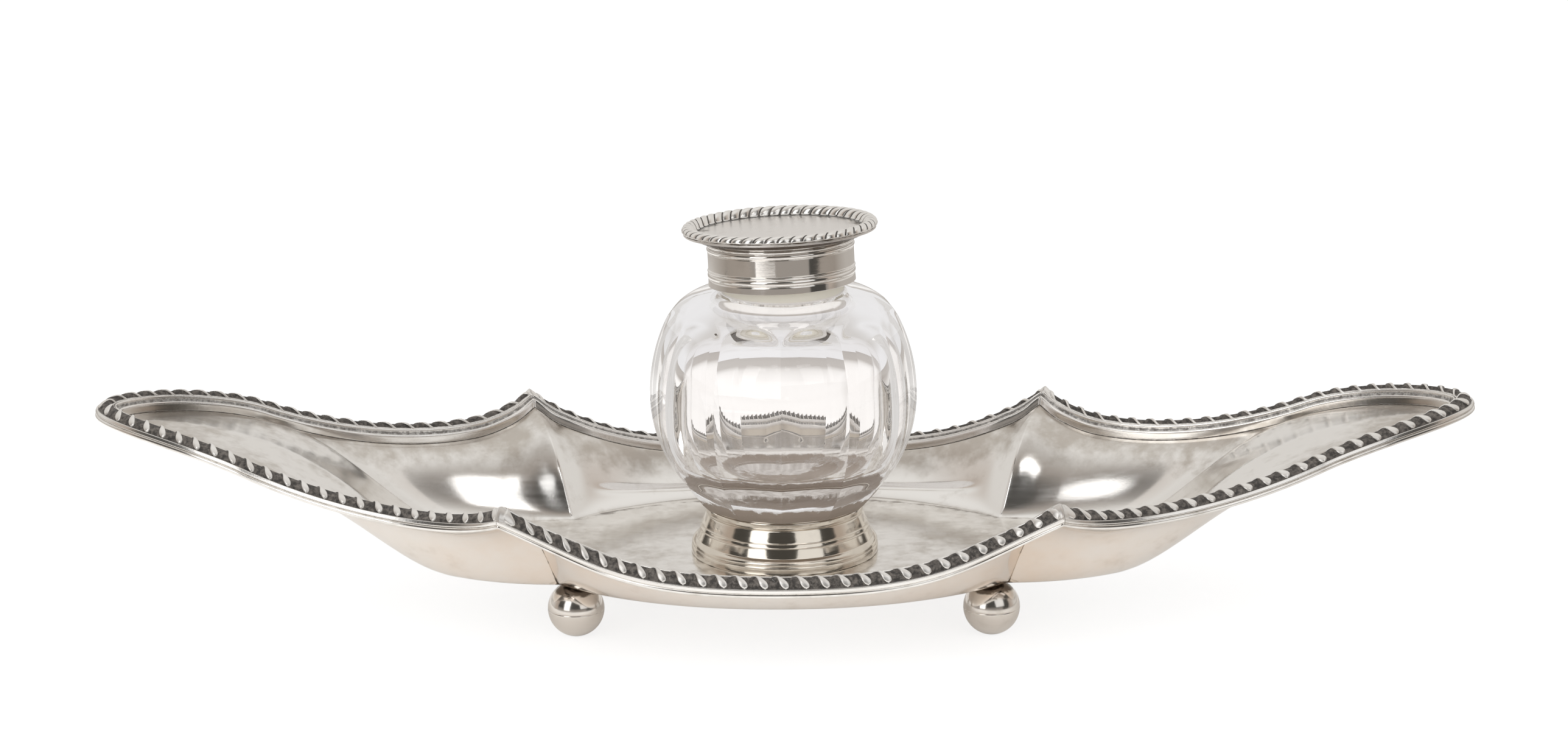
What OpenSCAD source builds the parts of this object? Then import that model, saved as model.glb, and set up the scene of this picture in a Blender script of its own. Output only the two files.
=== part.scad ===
// Desk inkstand: a footed, boat-shaped tray that carries one glass ink well with a hinged lid.
// The origin is on the table under the middle. X runs along the tray and -Y is the front.

/* [Tray] */
// Length over the tips of the two wings
tray_l = 260; // [230:1:310]
// Width over the border at the middle of the sides
tray_w = 97; // [90:1:112]
// Thickness of the sheet
sheet_t = 0.95; // [0.7:0.05:1.3]
// Height of the rim at the middle of a side, above the tray's underside
side_rise = 10.1; // [8:0.1:13]
// Height of the rim at the four cusps, above the tray's underside
cusp_rise = 21.6; // [18:0.1:26]
// Height that the rim is drawn down to between a cusp and the neck of a wing
dip_rise = 17.4; // [14:0.1:20]
// Height of the rim at the neck of a wing, above the tray's underside
neck_rise = 25.8; // [22:0.1:30]
// Height of the rim at the tips, above the tray's underside
tip_rise = 31.8; // [27:0.1:38]
// Distance between the cusps along the tray
cusp_span = 103; // [98:1:112]
// Distance between the cusps across the tray
cusp_w = 84.8; // [80:0.2:90]
// Distance between the necks of the two wings
neck_span = 200; // [180:1:210]
// Width of a wing at its neck
neck_w = 44; // [36:0.5:48]
// Width that rounds off the tip of a wing
tip_w = 18.5; // [12:0.5:22]

/* [Floor] */
// Length of the ellipse that bounds the middle of the flat floor
floor_l = 101; // [94:1:108]
// Width of that ellipse
floor_w = 67; // [60:1:72]
// Distance between the creases, where the floor draws in
crease_span = 82.6; // [76:0.2:88]
// How far the flat floor runs into a wing past the crease
wing_floor_l = 28.0; // [24:0.1:34]

/* [Border] */
// Width of the moulded border
border_w = 5; // [4:0.1:5.6]
// Height of the border from the flange to its bead
border_h = 2.9; // [2:0.1:3.6]
// How far the border rolls inwards in the wings, in degrees
wing_roll = 20; // [0:1:28]

/* [Ball feet] */
// Diameter of a ball foot
ball_d = 10.6; // [8:0.1:14]
// Wall of the hollow ball
ball_wall = 0.7; // [0.5:0.05:1]
// Depth that is worn off under the ball
ball_worn = 0.12; // [0.08:0.01:0.2]
// Depth that is cut off its top where it is soldered on
ball_seat = 0.18; // [0.1:0.01:0.3]
// Distance from a crease in to the ball's centre, along the tray
ball_in_x = 2.4; // [2:0.1:6]
// Distance from a crease in to the ball's centre, across the tray
ball_in_y = 1.7; // [1.5:0.1:5]

/* [Socket] */
// Diameter of the socket at its foot
socket_d = 35.6; // [34:0.2:40]
// Height of the socket
socket_h = 9.65; // [7:0.05:13]
// Bore of the socket's mouth
mouth_d = 27.5; // [25:0.1:28.5]
// Thickness of the socket's spun wall
socket_t = 0.8; // [0.6:0.05:1]

/* [Glass well] */
// Diameter over the upright edges of the twelve panels
well_d = 50.4; // [48:0.2:56]
// Number of cut panels round the well
panels = 12; // [10:1:12]
// Height of the widest place above the socket
belly_up = 21; // [19:0.1:24]
// Height of the shoulder's top above the socket
shoulder_up = 40.7; // [38.5:0.1:46]
// Height of the bevel between the seat and the panels
bevel_h = 6; // [4.5:0.1:7]
// Diameter where the panels end above the bevel
bevel_d = 41.9; // [39:0.1:43]
// Diameter of the ring that the well sits on
seat_d = 31.8; // [30:0.1:34]
// Gap between the spigot and the socket's mouth, on the radius
spigot_gap = 0.35; // [0.3:0.05:0.6]
// Gap between the end of the spigot and the floor
spigot_up = 0.5; // [0.3:0.1:1.5]
// Diameter of the ink chamber
chamber_d = 40.6; // [36:0.2:42]
// Glass between the chamber and the seat
base_t = 5; // [4:0.1:9]
// Glass between the chamber and the shoulder's top
crown_t = 3.6; // [2:0.1:6]
// Diameter of the neck
neck_d = 23.2; // [21:0.1:24]
// Bore of the neck
neck_bore = 17; // [13:0.1:18]
// Height of the neck above the shoulder
neck_h = 6.8; // [6:0.1:8]

/* [Collar] */
// Outer diameter of the collar
collar_d = 27.5; // [26.5:0.1:30]
// Height of the collar
collar_h = 8.7; // [8:0.1:11]
// Wall of the collar
collar_t = 0.85; // [0.6:0.05:1]
// Opening in the collar's top edge
collar_mouth_d = 22.6; // [21:0.1:23]
// Height of the collar above the shoulder
collar_up = 1.95; // [1.2:0.05:2.4]
// Diameter of a reed
reed_d = 0.6; // [0.3:0.05:0.7]
// How far the collar and the lid lean to the left, in degrees
lean_side = 2.2; // [0:0.1:2.5]
// How far the collar and the lid lean to the back, in degrees
lean_back = 3.8; // [0:0.1:4]

/* [Lid] */
// Diameter of the lid over its border
lid_d = 36.8; // [35:0.1:40]
// Thickness of the lid's sheet
lid_t = 0.6; // [0.5:0.05:0.8]
// Height of the step from the lid's field up to its rim
lid_step = 1; // [0.8:0.05:1.3]
// Width of the lid's border
lid_border_w = 2.9; // [2.4:0.1:3.2]
// Height of the lid's border above its rim
lid_border_h = 1.3; // [0.9:0.05:1.8]
// Gap between the bezel and the collar's mouth, on the radius
bezel_gap = 0.5; // [0.4:0.05:0.8]
// Depth of the bezel
bezel_h = 2.5; // [1.5:0.1:3]
// Wall of the bezel
bezel_t = 0.8; // [0.6:0.05:1]

/* [Hinge] */
// Diameter of the knuckles
knuckle_d = 2.2; // [2:0.05:2.4]
// Diameter of the pin
pin_d = 1; // [0.8:0.05:1.1]
// Gap round the pin in the lid's knuckle, on the radius
pin_gap = 0.05; // [0.03:0.01:0.08]
// Length of the lid's knuckle
lid_knuckle_l = 3.4; // [2.4:0.1:4.5]
// Length of each knuckle on the collar
collar_knuckle_l = 2.6; // [2:0.1:3.5]
// Gap between two knuckles
knuckle_gap = 0.15; // [0.1:0.05:0.3]
// Gap between a knuckle and the lid's sheet
knuckle_clear = 0.3; // [0.25:0.05:0.4]

/* [Hidden] */
$fn = 96;

plate = [0.78, 0.76, 0.73];
plate_dark = [0.66, 0.63, 0.59];
glass = [0.86, 0.9, 0.9, 0.45];
chalk = [0.9, 0.88, 0.83];

// Heights in the stand
tray_z = ball_d - ball_worn - ball_seat;
floor_z = tray_z + sheet_t;
seat_z = floor_z + socket_h;

// Places that the rim passes through
tip = [tray_l / 2, 0, tray_z + tip_rise];
neck = [neck_span / 2, neck_w / 2, tray_z + neck_rise];
cusp = [cusp_span / 2, cusp_w / 2, tray_z + cusp_rise];
side = [0, tray_w / 2, tray_z + side_rise];

// A cubic Bezier curve and its direction
function bez(c, t) =
    c[0] * pow(1 - t, 3) + 3 * c[1] * t * pow(1 - t, 2) + 3 * c[2] * t * t * (1 - t) + c[3] * pow(t, 3);
function bez_dir(c, t) =
    (c[1] - c[0]) * pow(1 - t, 2) + 2 * (c[2] - c[1]) * t * (1 - t) + (c[3] - c[2]) * t * t;
function smooth(a) = a < 0 ? 0 : a > 1 ? 1 : a * a * (3 - 2 * a);
function unit(v) = v / norm(v);
function mix(a, b, w) = a * (1 - w) + b * w;

// The rim of one quarter: side to cusp, cusp to neck, and neck to tip.
// The handles are shares of the spans, so the line keeps its sweep when a size changes.
dip_z = tray_z + dip_rise;
neck_in = [neck[0] - 0.43 * (neck[0] - cusp[0]), neck[1] + 0.23 * (cusp[1] - neck[1]), dip_z];
rim_side = [
    side,
    [0.59 * cusp[0], side[1], side[2]],
    [0.66 * cusp[0], 0.92 * cusp[1], mix(side[2], cusp[2], 0.23)],
    cusp
];
rim_dip = [
    cusp,
    [mix(cusp[0], neck[0], 0.155), mix(cusp[1], neck[1], 0.43), dip_z],
    neck_in,
    neck
];
rim_tip = [
    neck,
    neck + 0.38 * (tip[0] - neck[0]) / (neck[0] - neck_in[0]) * (neck - neck_in),
    [tip[0], tip_w / 2, tip[2]],
    tip
];

// Stations round one quarter, counted from the tip to the middle of the side
wing_steps = 16;
side_steps = 10;
quarter = wing_steps + side_steps;
// Share of the floor's wing edge that answers to the rim between the cusp and the neck
neck_share = 0.65;

function wing_share(k) = 1 - k / wing_steps;
function side_share(k) = 1 - (k - wing_steps) / side_steps;
function rim_curve(k) = k > wing_steps ? rim_side : wing_share(k) <= neck_share ? rim_dip : rim_tip;
function rim_at(k) =
    k > wing_steps ? side_share(k)
    : wing_share(k) <= neck_share ? wing_share(k) / neck_share
    : (wing_share(k) - neck_share) / (1 - neck_share);
function rim_point(k) = bez(rim_curve(k), rim_at(k));

// Outward directions in plan. Near a cusp they turn to the mitre, so the moulding meets in a corner.
function outward(d) = unit([abs(d[1]), abs(d[0])]);
function lean_out(d) = [d[0] * d[1] > 0 ? -1 : 1, 1];
function plan_out(k) =
    let (d = bez_dir(rim_curve(k), rim_at(k)), n = outward(d), s = lean_out(d))
    [n[0] * s[0], n[1]];
cusp_side_dir = bez_dir(rim_side, 1);
cusp_side_out = [-cusp_side_dir[1], cusp_side_dir[0]] / norm([cusp_side_dir[0], cusp_side_dir[1]]);
cusp_wing_dir = bez_dir(rim_dip, 0);
cusp_wing_out = [-cusp_wing_dir[1], cusp_wing_dir[0]] / norm([cusp_wing_dir[0], cusp_wing_dir[1]]);
mitre = (cusp_side_out + cusp_wing_out) / (1 + cusp_side_out * cusp_wing_out);
mitre_reach = 8;
function cusp_far(p) = norm([p[0] - cusp[0], p[1] - cusp[1]]);
function inset_dir(k) = mix(mitre, plan_out(k), smooth(cusp_far(rim_point(k)) / mitre_reach));

// In the wings the border rolls inwards about its outer edge, and at the cusps it lies level
roll_h = -0.76 * border_h;
roll_reach = 14;
function roll(k) = k >= wing_steps ? 0 : wing_roll * smooth(cusp_far(rim_point(k)) / roll_reach);

// A point of the moulding at station k: d in from the outer edge and h above the level bead
function at_rim(k, d, h) =
    let (
        p = rim_point(k), o = inset_dir(k), a = roll(k), up = h - roll_h,
        inward = d * cos(a) + up * sin(a)
    )
    [p[0] - inward * o[0], p[1] - inward * o[1], p[2] + roll_h + up * cos(a) - d * sin(a)];

// The edge of the flat floor
crease_x = crease_span / 2;
crease_turn = asin(crease_span / floor_l);
crease_y = floor_w / 2 * cos(crease_turn);
function floor_point(k) =
    k > wing_steps
    ? [floor_l / 2 * sin(crease_turn * side_share(k)), floor_w / 2 * cos(crease_turn * side_share(k))]
    : [crease_x + wing_floor_l * sin(90 * wing_share(k)), crease_y * cos(90 * wing_share(k))];

// Handles of the wall's section, as [share of the run, share of the rise], at four places
wall_side = [[0.42, 0], [0.64, 0.42]];
wall_crease = [[0.12, 0], [0.35, 0.85]];
wall_wing = [[0.31, 0.03], [0.61, 0.88]];
wall_keel = [[0.30, 0.75], [0.60, 0.97]];
wing_mid = 0.45;
function wall_handles(k) =
    k > wing_steps ? mix(wall_side, wall_crease, pow(side_share(k), 3))
    : wing_share(k) < wing_mid ? mix(wall_crease, wall_wing, smooth(wing_share(k) / wing_mid))
    : mix(wall_wing, wall_keel, smooth((wing_share(k) - wing_mid) / (1 - wing_mid)));
function wall_share(k, u) =
    let (h = wall_handles(k)) bez([[0, 0], h[0], h[1], [1, 1]], u);
function wall_point(k, u) =
    let (f = floor_point(k), t = at_rim(k, border_w, -border_h), s = wall_share(k, u))
    [mix(f[0], t[0], s[0]), mix(f[1], t[1], s[0]), mix(floor_z, t[2], s[1])];

// The other quarters mirror the first. Station i counts anticlockwise from the right tip.
around = 4 * quarter;
function turn(i) = floor((i + around) % around / quarter);
function own(i) = let (m = (i + around) % quarter) turn(i) % 2 == 0 ? m : quarter - m;
function flip(i, p) =
    [p[0] * (turn(i) == 1 || turn(i) == 2 ? -1 : 1), p[1] * (turn(i) > 1 ? -1 : 1), p[2]];
function ring_rim(i, d, h) = flip(i, at_rim(own(i), d, h));
function ring_wall(i, u) = flip(i, wall_point(own(i), u));
// A point of the wall's underside, one sheet below the inner face along its normal
function ring_under(i, u) =
    let (
        along = ring_wall(i + 1, u) - ring_wall(i - 1, u),
        up = ring_wall(i, u + 0.03) - ring_wall(i, u - 0.03),
        n = unit(cross(along, up))
    )
    ring_wall(i, u) + sheet_t * (n[2] > 0 ? -n : n);

// Triangles between two closed rings of n points that start at a and b
function band(a, b, n) =
    [for (i = [0:n - 1]) let (j = (i + 1) % n) each [[a + i, a + j, b + i], [a + j, b + j, b + i]]];
function fan(a, n, middle) = [for (i = [0:n - 1]) [a + i, middle, a + (i + 1) % n]];
function fan_back(a, n, middle) = [for (i = [0:n - 1]) [a + i, a + (i + 1) % n, middle]];

wall_levels = [0.12, 0.26, 0.4, 0.54, 0.68, 0.84];
// The flange ends a little inside the border's outer edge
flange_in = 0.03 * border_w;
// Bend allowance that keeps the sheet's thickness where the wall turns into the flange
flange_bend = 0.4 * sheet_t;

module tray_body() {
    count = around;
    rings = concat(
        [[for (i = [0:count - 1]) ring_wall(i, 0)]],
        [for (u = wall_levels) [for (i = [0:count - 1]) ring_wall(i, u)]],
        [[for (i = [0:count - 1]) ring_rim(i, border_w, -border_h)]],
        [[for (i = [0:count - 1]) ring_rim(i, flange_in, -border_h)]],
        [[for (i = [0:count - 1]) ring_rim(i, flange_in, -border_h - sheet_t)]],
        [[for (i = [0:count - 1]) ring_rim(i, border_w - flange_bend, -border_h - sheet_t)]],
        [for (l = [len(wall_levels) - 1:-1:0])
            [for (i = [0:count - 1]) ring_under(i, wall_levels[l])]],
        [[for (i = [0:count - 1]) ring_wall(i, 0) - [0, 0, sheet_t]]]
    );
    points = concat([for (r = rings) each r], [[0, 0, floor_z], [0, 0, tray_z]]);
    last = len(rings) - 1;
    faces = concat(
        [for (r = [0:last - 1]) each band(r * count, (r + 1) * count, count)],
        fan(0, count, len(points) - 2),
        fan_back(last * count, count, len(points) - 1)
    );
    color(plate) polyhedron(points, faces, convexity = 8);
}

// Section of the border, as [share of its width from the outer edge, share of its height]
border_shares = [
    [0.03, -1], [0, -0.76], [0.07, -0.65], [0.18, -0.4], [0.32, -0.19], [0.44, -0.09], [0.5, -0.14],
    [0.53, -0.02], [0.6, 0], [0.68, -0.04], [0.74, -0.38], [0.82, -0.46], [0.9, -0.4], [0.96, -0.52],
    [1, -1]
];

// One length of the border from station first to station last, both at cusps
module border_length(first, last) {
    n = len(border_shares);
    count = last - first + 1;
    points = [for (i = [first:last]) for (s = border_shares) ring_rim(i, s[0] * border_w, s[1] * border_h)];
    sides = [
        for (i = [0:count - 2]) for (j = [0:n - 1])
            let (a = i * n + j, b = i * n + (j + 1) % n)
            each [[a, b, a + n], [b, b + n, a + n]]
    ];
    start_cap = [for (j = [1:n - 2]) [0, j + 1, j]];
    end = (count - 1) * n;
    end_cap = [for (j = [1:n - 2]) [end, end + j, end + j + 1]];
    color(plate_dark) polyhedron(points, concat(sides, start_cap, end_cap), convexity = 6);
}

module border_rear() border_length(wing_steps, 2 * quarter - wing_steps);
module border_left() border_length(2 * quarter - wing_steps, 2 * quarter + wing_steps);
module border_front() border_length(2 * quarter + wing_steps, around - wing_steps);
module border_right() border_length(around - wing_steps, around + wing_steps);

// Half of a hollow ball foot: sx and sy say which corner it stands at
ball_r = ball_d / 2;
ball_z = ball_r - ball_worn;
module foot_half(sx, sy, lower) {
    low = lower ? 0 : ball_z;
    high = lower ? ball_z : tray_z;
    color(plate)
    translate([sx * (crease_x - ball_in_x), sy * (crease_y - ball_in_y), 0])
    difference() {
        intersection() {
            translate([0, 0, ball_z]) sphere(r = ball_r);
            translate([0, 0, low]) cylinder(r = ball_d, h = high - low);
        }
        translate([0, 0, ball_z]) sphere(r = ball_r - ball_wall);
    }
}

// The socket's outer section, as [share from the mouth to the foot, share of the height]
socket_shares = [
    [0.96, 0], [0.985, 0.03], [0.985, 0.1], [0.96, 0.15], [0.92, 0.165], [0.95, 0.18], [0.93, 0.215],
    [0.87, 0.235], [0.86, 0.27], [0.8, 0.335], [0.71, 0.4], [0.67, 0.44], [0.63, 0.455], [0.66, 0.475],
    [0.64, 0.54], [0.59, 0.555], [0.61, 0.575], [0.54, 0.615], [0.41, 0.68], [0.28, 0.745],
    [0.22, 0.785], [0.24, 0.81], [0.28, 0.87], [0.3, 0.92], [0.28, 0.965], [0.22, 0.99], [0.12, 1]
];
lining_shares = [
    [0.22, 0.8], [0.25, 0.745], [0.4, 0.66], [0.53, 0.56], [0.61, 0.44], [0.72, 0.36],
    [0.82, 0.25], [0.88, 0.15], [0.9, 0]
];
function socket_r(share) = mix(mouth_d / 2, socket_d / 2, share);
module well_socket() {
    outside = [for (s = socket_shares) [socket_r(s[0]), s[1] * socket_h]];
    inside = [for (s = lining_shares) [socket_r(s[0]) - socket_t, s[1] * socket_h]];
    mouth = [[mouth_d / 2, socket_h], [mouth_d / 2, 0.87 * socket_h]];
    color(plate) translate([0, 0, floor_z]) rotate_extrude() polygon(concat(outside, mouth, inside));
}

// Centre of the arc that is upright at radius top_r and reaches radius end_r at a distance away
function arc_middle(top_r, end_r, away) = (top_r * top_r - end_r * end_r - away * away) / (2 * (top_r - end_r));
belly_r = well_d / 2;
panel_low_mid = arc_middle(belly_r, bevel_d / 2, belly_up - bevel_h);
// The panels' upper arc draws in by this much at the shoulder's height, where the round crown cuts it
panel_draw = 6.2;
panel_high_mid = arc_middle(belly_r, belly_r - panel_draw, shoulder_up - belly_up);
function arc_r(middle, away) = middle + sqrt(pow(belly_r - middle, 2) - away * away);
// The small step where a panel ends on the bevel
bevel_step = 0.3;
// Distance between two rings of points up a panel
panel_ring = 3;
// Height above the widest place where the crown starts to close
crown_start = 4;

// The cut panels and the cut bevel below them, without the round crown
module cut_panels() {
    low = [for (z = [bevel_h:panel_ring:belly_up - panel_ring / 3]) [arc_r(panel_low_mid, belly_up - z), z]];
    high = [for (z = [belly_up:panel_ring:shoulder_up]) [arc_r(panel_high_mid, z - belly_up), z]];
    // The bevel starts steep at the panels and flattens to the seat
    bevel = [
        [seat_d / 2, 0],
        [mix(seat_d, bevel_d, 0.3) / 2, 0.24 * bevel_h],
        [bevel_d / 2 - bevel_step, bevel_h - bevel_step]
    ];
    top = [[belly_r - panel_draw, shoulder_up + 1], [0, shoulder_up + 1]];
    rotate_extrude($fn = panels) polygon(concat([[0, 0]], bevel, low, high, top));
}

// The round crown that the panels run out into
crown_r = 1.9;
module crown() {
    flat_r = neck_d / 2 + crown_r;
    spring = belly_up + crown_start;
    arc = [
        for (a = [0:7.5:90])
            [flat_r + (belly_r - flat_r) * cos(a), spring + (shoulder_up - spring) * sin(a)]
    ];
    rotate_extrude() polygon(concat([[0, 0], [belly_r + 1, 0], [belly_r + 1, spring]], arc, [[0, shoulder_up]]));
}

// The chamber's outline is a rounded oblong, with the neck's bore above it
chamber_round = 0.65;
function swell(c) = sign(c) * pow(abs(c), chamber_round);
module chamber() {
    half_h = (shoulder_up - base_t - crown_t) / 2;
    outline = [
        for (a = [-90:7.5:90])
            [chamber_d / 2 * swell(cos(a)), base_t + half_h * (1 + swell(sin(a)))]
    ];
    rotate_extrude() polygon(outline);
    translate([0, 0, base_t + half_h]) cylinder(d = neck_bore, h = shoulder_up + neck_h);
}

spigot_r = mouth_d / 2 - spigot_gap;
module glass_well() {
    spigot_l = socket_h - spigot_up;
    color(glass) translate([0, 0, seat_z]) difference() {
        union() {
            intersection() {
                cut_panels();
                crown();
            }
            translate([0, 0, -spigot_l]) cylinder(r = spigot_r, h = spigot_l);
            translate([0, 0, shoulder_up]) cylinder(d = neck_d, h = neck_h);
        }
        chamber();
    }
}

// The collar and the lid lean together about the middle of the collar's foot
collar_z = seat_z + shoulder_up + collar_up;
module leaning() translate([0, 0, collar_z]) rotate([-lean_back, -lean_side, 0]) children();

collar_r = collar_d / 2;
collar_flare = 0.15;
collar_lip_t = 0.8;
// Heights of the reeds, in from the collar's foot and its top
reeds_low = [2, 2.9];
reeds_high = [1.75, 0.85];
function reed(z) = [
    [collar_r, z - 0.6 * reed_d], [collar_r + 0.4 * reed_d, z - 0.3 * reed_d],
    [collar_r + 0.4 * reed_d, z + 0.3 * reed_d], [collar_r, z + 0.6 * reed_d]
];
module collar_outline() {
    polygon(concat(
        [[0, 0], [collar_r + collar_flare, 0], [collar_r + collar_flare, 0.5]],
        [for (z = reeds_low) each reed(z)],
        [for (z = reeds_high) each reed(collar_h - z)],
        [[collar_r, collar_h], [0, collar_h]]
    ));
}

module neck_collar() {
    color(plate) leaning() difference() {
        rotate_extrude() collar_outline();
        translate([0, 0, -1]) cylinder(r = collar_r - collar_t, h = collar_h + 1 - collar_lip_t);
        cylinder(d = collar_mouth_d, h = collar_h + 1);
    }
}

// Plaster fills the space between the neck and the collar, short of both ends
plaster_in = 0.6;
module collar_plaster() {
    color(chalk) difference() {
        leaning() translate([0, 0, plaster_in])
            cylinder(r = collar_r - collar_t, h = neck_h - collar_up - 2 * plaster_in);
        translate([0, 0, seat_z]) cylinder(d = neck_d, h = shoulder_up + 2 * neck_h);
    }
}

// The lid: a flat field, a step up at 45 degrees, and a flat rim under the border
lid_r = lid_d / 2;
rim_r = lid_r - 0.3;
field_r = lid_r - lid_border_w;
step_run = 0.4 * lid_t;
module lid_plate() {
    color(plate) leaning() translate([0, 0, collar_h]) rotate_extrude() polygon([
        [0, 0], [field_r, 0], [field_r + lid_step, lid_step], [rim_r, lid_step],
        [rim_r, lid_step + lid_t], [field_r + lid_step - step_run, lid_step + lid_t],
        [field_r - step_run, lid_t], [0, lid_t]
    ]);
}

module lid_border() {
    base = lid_step + lid_t;
    color(plate_dark) leaning() translate([0, 0, collar_h]) rotate_extrude() polygon([
        [field_r - step_run, lid_t], [field_r + lid_step - step_run, base], [rim_r, base],
        [lid_r, base + 0.3 * lid_border_h], [lid_r - 0.1 * lid_border_w, base + 0.7 * lid_border_h],
        [lid_r - 0.3 * lid_border_w, base + 0.97 * lid_border_h],
        [lid_r - 0.47 * lid_border_w, base + lid_border_h],
        [lid_r - 0.65 * lid_border_w, base + 0.88 * lid_border_h],
        [lid_r - 0.85 * lid_border_w, base + 0.35 * lid_border_h],
        [field_r - step_run, base - 0.3 * lid_step]
    ]);
}

module lid_bezel() {
    bezel_r = collar_mouth_d / 2 - bezel_gap;
    color(plate) leaning() translate([0, 0, collar_h - bezel_h]) difference() {
        cylinder(r = bezel_r, h = bezel_h);
        translate([0, 0, -1]) cylinder(r = bezel_r - bezel_t, h = bezel_h + 2);
    }
}

// The hinge stands behind the collar, under the overhang of the lid.
// Its height keeps the knuckles clear of the lid's step, which rises at 45 degrees.
knuckle_r = knuckle_d / 2;
hinge_y = mix(collar_r, lid_r, 0.5);
hinge_z = collar_h + hinge_y - field_r - (knuckle_r + knuckle_clear) * sqrt(2);
hinge_l = lid_knuckle_l + 2 * (knuckle_gap + collar_knuckle_l);
module on_hinge(x) leaning() translate([x, hinge_y, hinge_z]) rotate([0, 90, 0]) children();
tab_t = 0.7;

module lid_knuckle() {
    color(plate) difference() {
        union() {
            on_hinge(-lid_knuckle_l / 2) cylinder(r = knuckle_r, h = lid_knuckle_l);
            leaning() translate([-lid_knuckle_l / 2, hinge_y + knuckle_r - tab_t, hinge_z])
                cube([lid_knuckle_l, tab_t, collar_h + lid_step - hinge_z]);
        }
        on_hinge(-lid_knuckle_l) cylinder(r = pin_d / 2 + pin_gap, h = 2 * lid_knuckle_l);
        // The tab ends at the underside of the lid
        leaning() translate([0, 0, collar_h]) rotate_extrude() polygon([
            [0, 0], [field_r, 0], [field_r + lid_step, lid_step], [lid_r, lid_step],
            [lid_r, lid_step + lid_t], [0, lid_step + lid_t]
        ]);
    }
}

module collar_hinge() {
    color(plate) difference() {
        union() for (s = [-1, 1]) {
            start = s * (hinge_l - collar_knuckle_l) / 2 - collar_knuckle_l / 2;
            on_hinge(start) cylinder(r = knuckle_r, h = collar_knuckle_l);
            leaning() translate([start, collar_r - 1, hinge_z - knuckle_r])
                cube([collar_knuckle_l, hinge_y - collar_r + 1, tab_t]);
        }
        on_hinge(-hinge_l) cylinder(d = pin_d, h = 2 * hinge_l);
        leaning() rotate_extrude() collar_outline();
    }
}

module hinge_pin() {
    color(plate_dark) on_hinge(-hinge_l / 2) cylinder(d = pin_d, h = hinge_l);
}

tray_body();
border_front();
border_rear();
border_left();
border_right();
foot_half(-1, -1, false);  // foot_front_left_upper
foot_half(-1, -1, true);  // foot_front_left_lower
foot_half(1, -1, false);  // foot_front_right_upper
foot_half(1, -1, true);  // foot_front_right_lower
foot_half(-1, 1, false);  // foot_rear_left_upper
foot_half(-1, 1, true);  // foot_rear_left_lower
foot_half(1, 1, false);  // foot_rear_right_upper
foot_half(1, 1, true);  // foot_rear_right_lower
well_socket();
glass_well();
neck_collar();
collar_plaster();
collar_hinge();
hinge_pin();
lid_plate();
lid_border();
lid_bezel();
lid_knuckle();
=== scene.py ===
# Desk inkstand in plated silver with a cut glass well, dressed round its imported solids.
# Lengths are millimetres unless a note says otherwise, and turn into metres when a mesh or node is made.
import math
from functools import partial

import bpy
import numpy as np
from mathutils import Matrix


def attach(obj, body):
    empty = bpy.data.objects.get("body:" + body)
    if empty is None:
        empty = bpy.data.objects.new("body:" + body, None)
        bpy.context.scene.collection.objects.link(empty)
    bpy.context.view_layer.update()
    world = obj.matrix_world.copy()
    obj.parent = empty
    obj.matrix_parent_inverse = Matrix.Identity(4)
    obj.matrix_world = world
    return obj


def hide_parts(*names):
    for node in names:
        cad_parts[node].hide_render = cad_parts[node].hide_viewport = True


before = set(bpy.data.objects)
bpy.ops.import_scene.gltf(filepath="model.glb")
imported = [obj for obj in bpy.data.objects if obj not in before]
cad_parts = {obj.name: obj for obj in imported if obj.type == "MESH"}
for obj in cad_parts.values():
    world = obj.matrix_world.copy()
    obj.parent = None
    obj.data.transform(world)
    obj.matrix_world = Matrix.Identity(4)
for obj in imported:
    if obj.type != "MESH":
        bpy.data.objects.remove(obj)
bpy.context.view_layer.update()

metre = 1000.0  # millimetres in one


def mixed(a, b, share):
    # Straight blend from a to b.
    return a * (1 - share) + b * share


def smooth(x):
    # S curve from 0 to 1, flat at both ends.
    x = np.clip(x, 0.0, 1.0)
    return x * x * (3 - 2 * x)


def step(x, low, high):
    # S curve of x between the two values low and high.
    return smooth((np.asarray(x, float) - low) / (high - low))


def softLine(points, perSpan):
    # Catmull-Rom curve through the points, with perSpan pieces between two of them.
    p = np.asarray(points, float)
    ends = np.vstack([2 * p[0] - p[1], p, 2 * p[-1] - p[-2]])
    t = np.linspace(0, 1, perSpan, endpoint=False)[:, None, None]
    a, b, c, d = ends[:-3], ends[1:-2], ends[2:-1], ends[3:]
    curve = 0.5 * (2 * b + (c - a) * t + (2 * a - 5 * b + 4 * c - d) * t**2 + (3 * b - a - 3 * c + d) * t**3)
    return np.vstack([curve.transpose(1, 0, 2).reshape(-1, p.shape[1]), p[-1:]])


# Mesh making


def gridFaces(rows, columns):
    # Quads between neighbouring rows and columns, with the last column joined to the first.
    r = np.arange(rows - 1)[:, None] * columns
    c = np.arange(columns)[None, :]
    n = (c + 1) % columns
    return np.stack([r + c, r + n, r + columns + n, r + columns + c], -1).reshape(-1, 4)


def closedFaces(points, quads, triangles):
    # All faces, turned over together if the signed volume that they close is negative.
    corners = np.vstack([quads[:, [0, 1, 2]], quads[:, [0, 2, 3]], triangles])
    a, b, c = (points[corners[:, i]] for i in range(3))
    if np.einsum("ij,ij->i", a, np.cross(b, c)).sum() < 0:
        quads, triangles = quads[:, ::-1], triangles[:, ::-1]
    return quads.tolist() + triangles.tolist()


def addObject(name, data):
    # An object of this data, in the scene.
    thing = bpy.data.objects.new(name, data)
    bpy.context.scene.collection.objects.link(thing)
    return thing


def setAxes(thing, axes):
    # Turns and places a thing by the directions of its own three axes and its place in metres.
    thing.matrix_world = Matrix(np.vstack([np.column_stack(axes), [0, 0, 0, 1]]).tolist())


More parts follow.
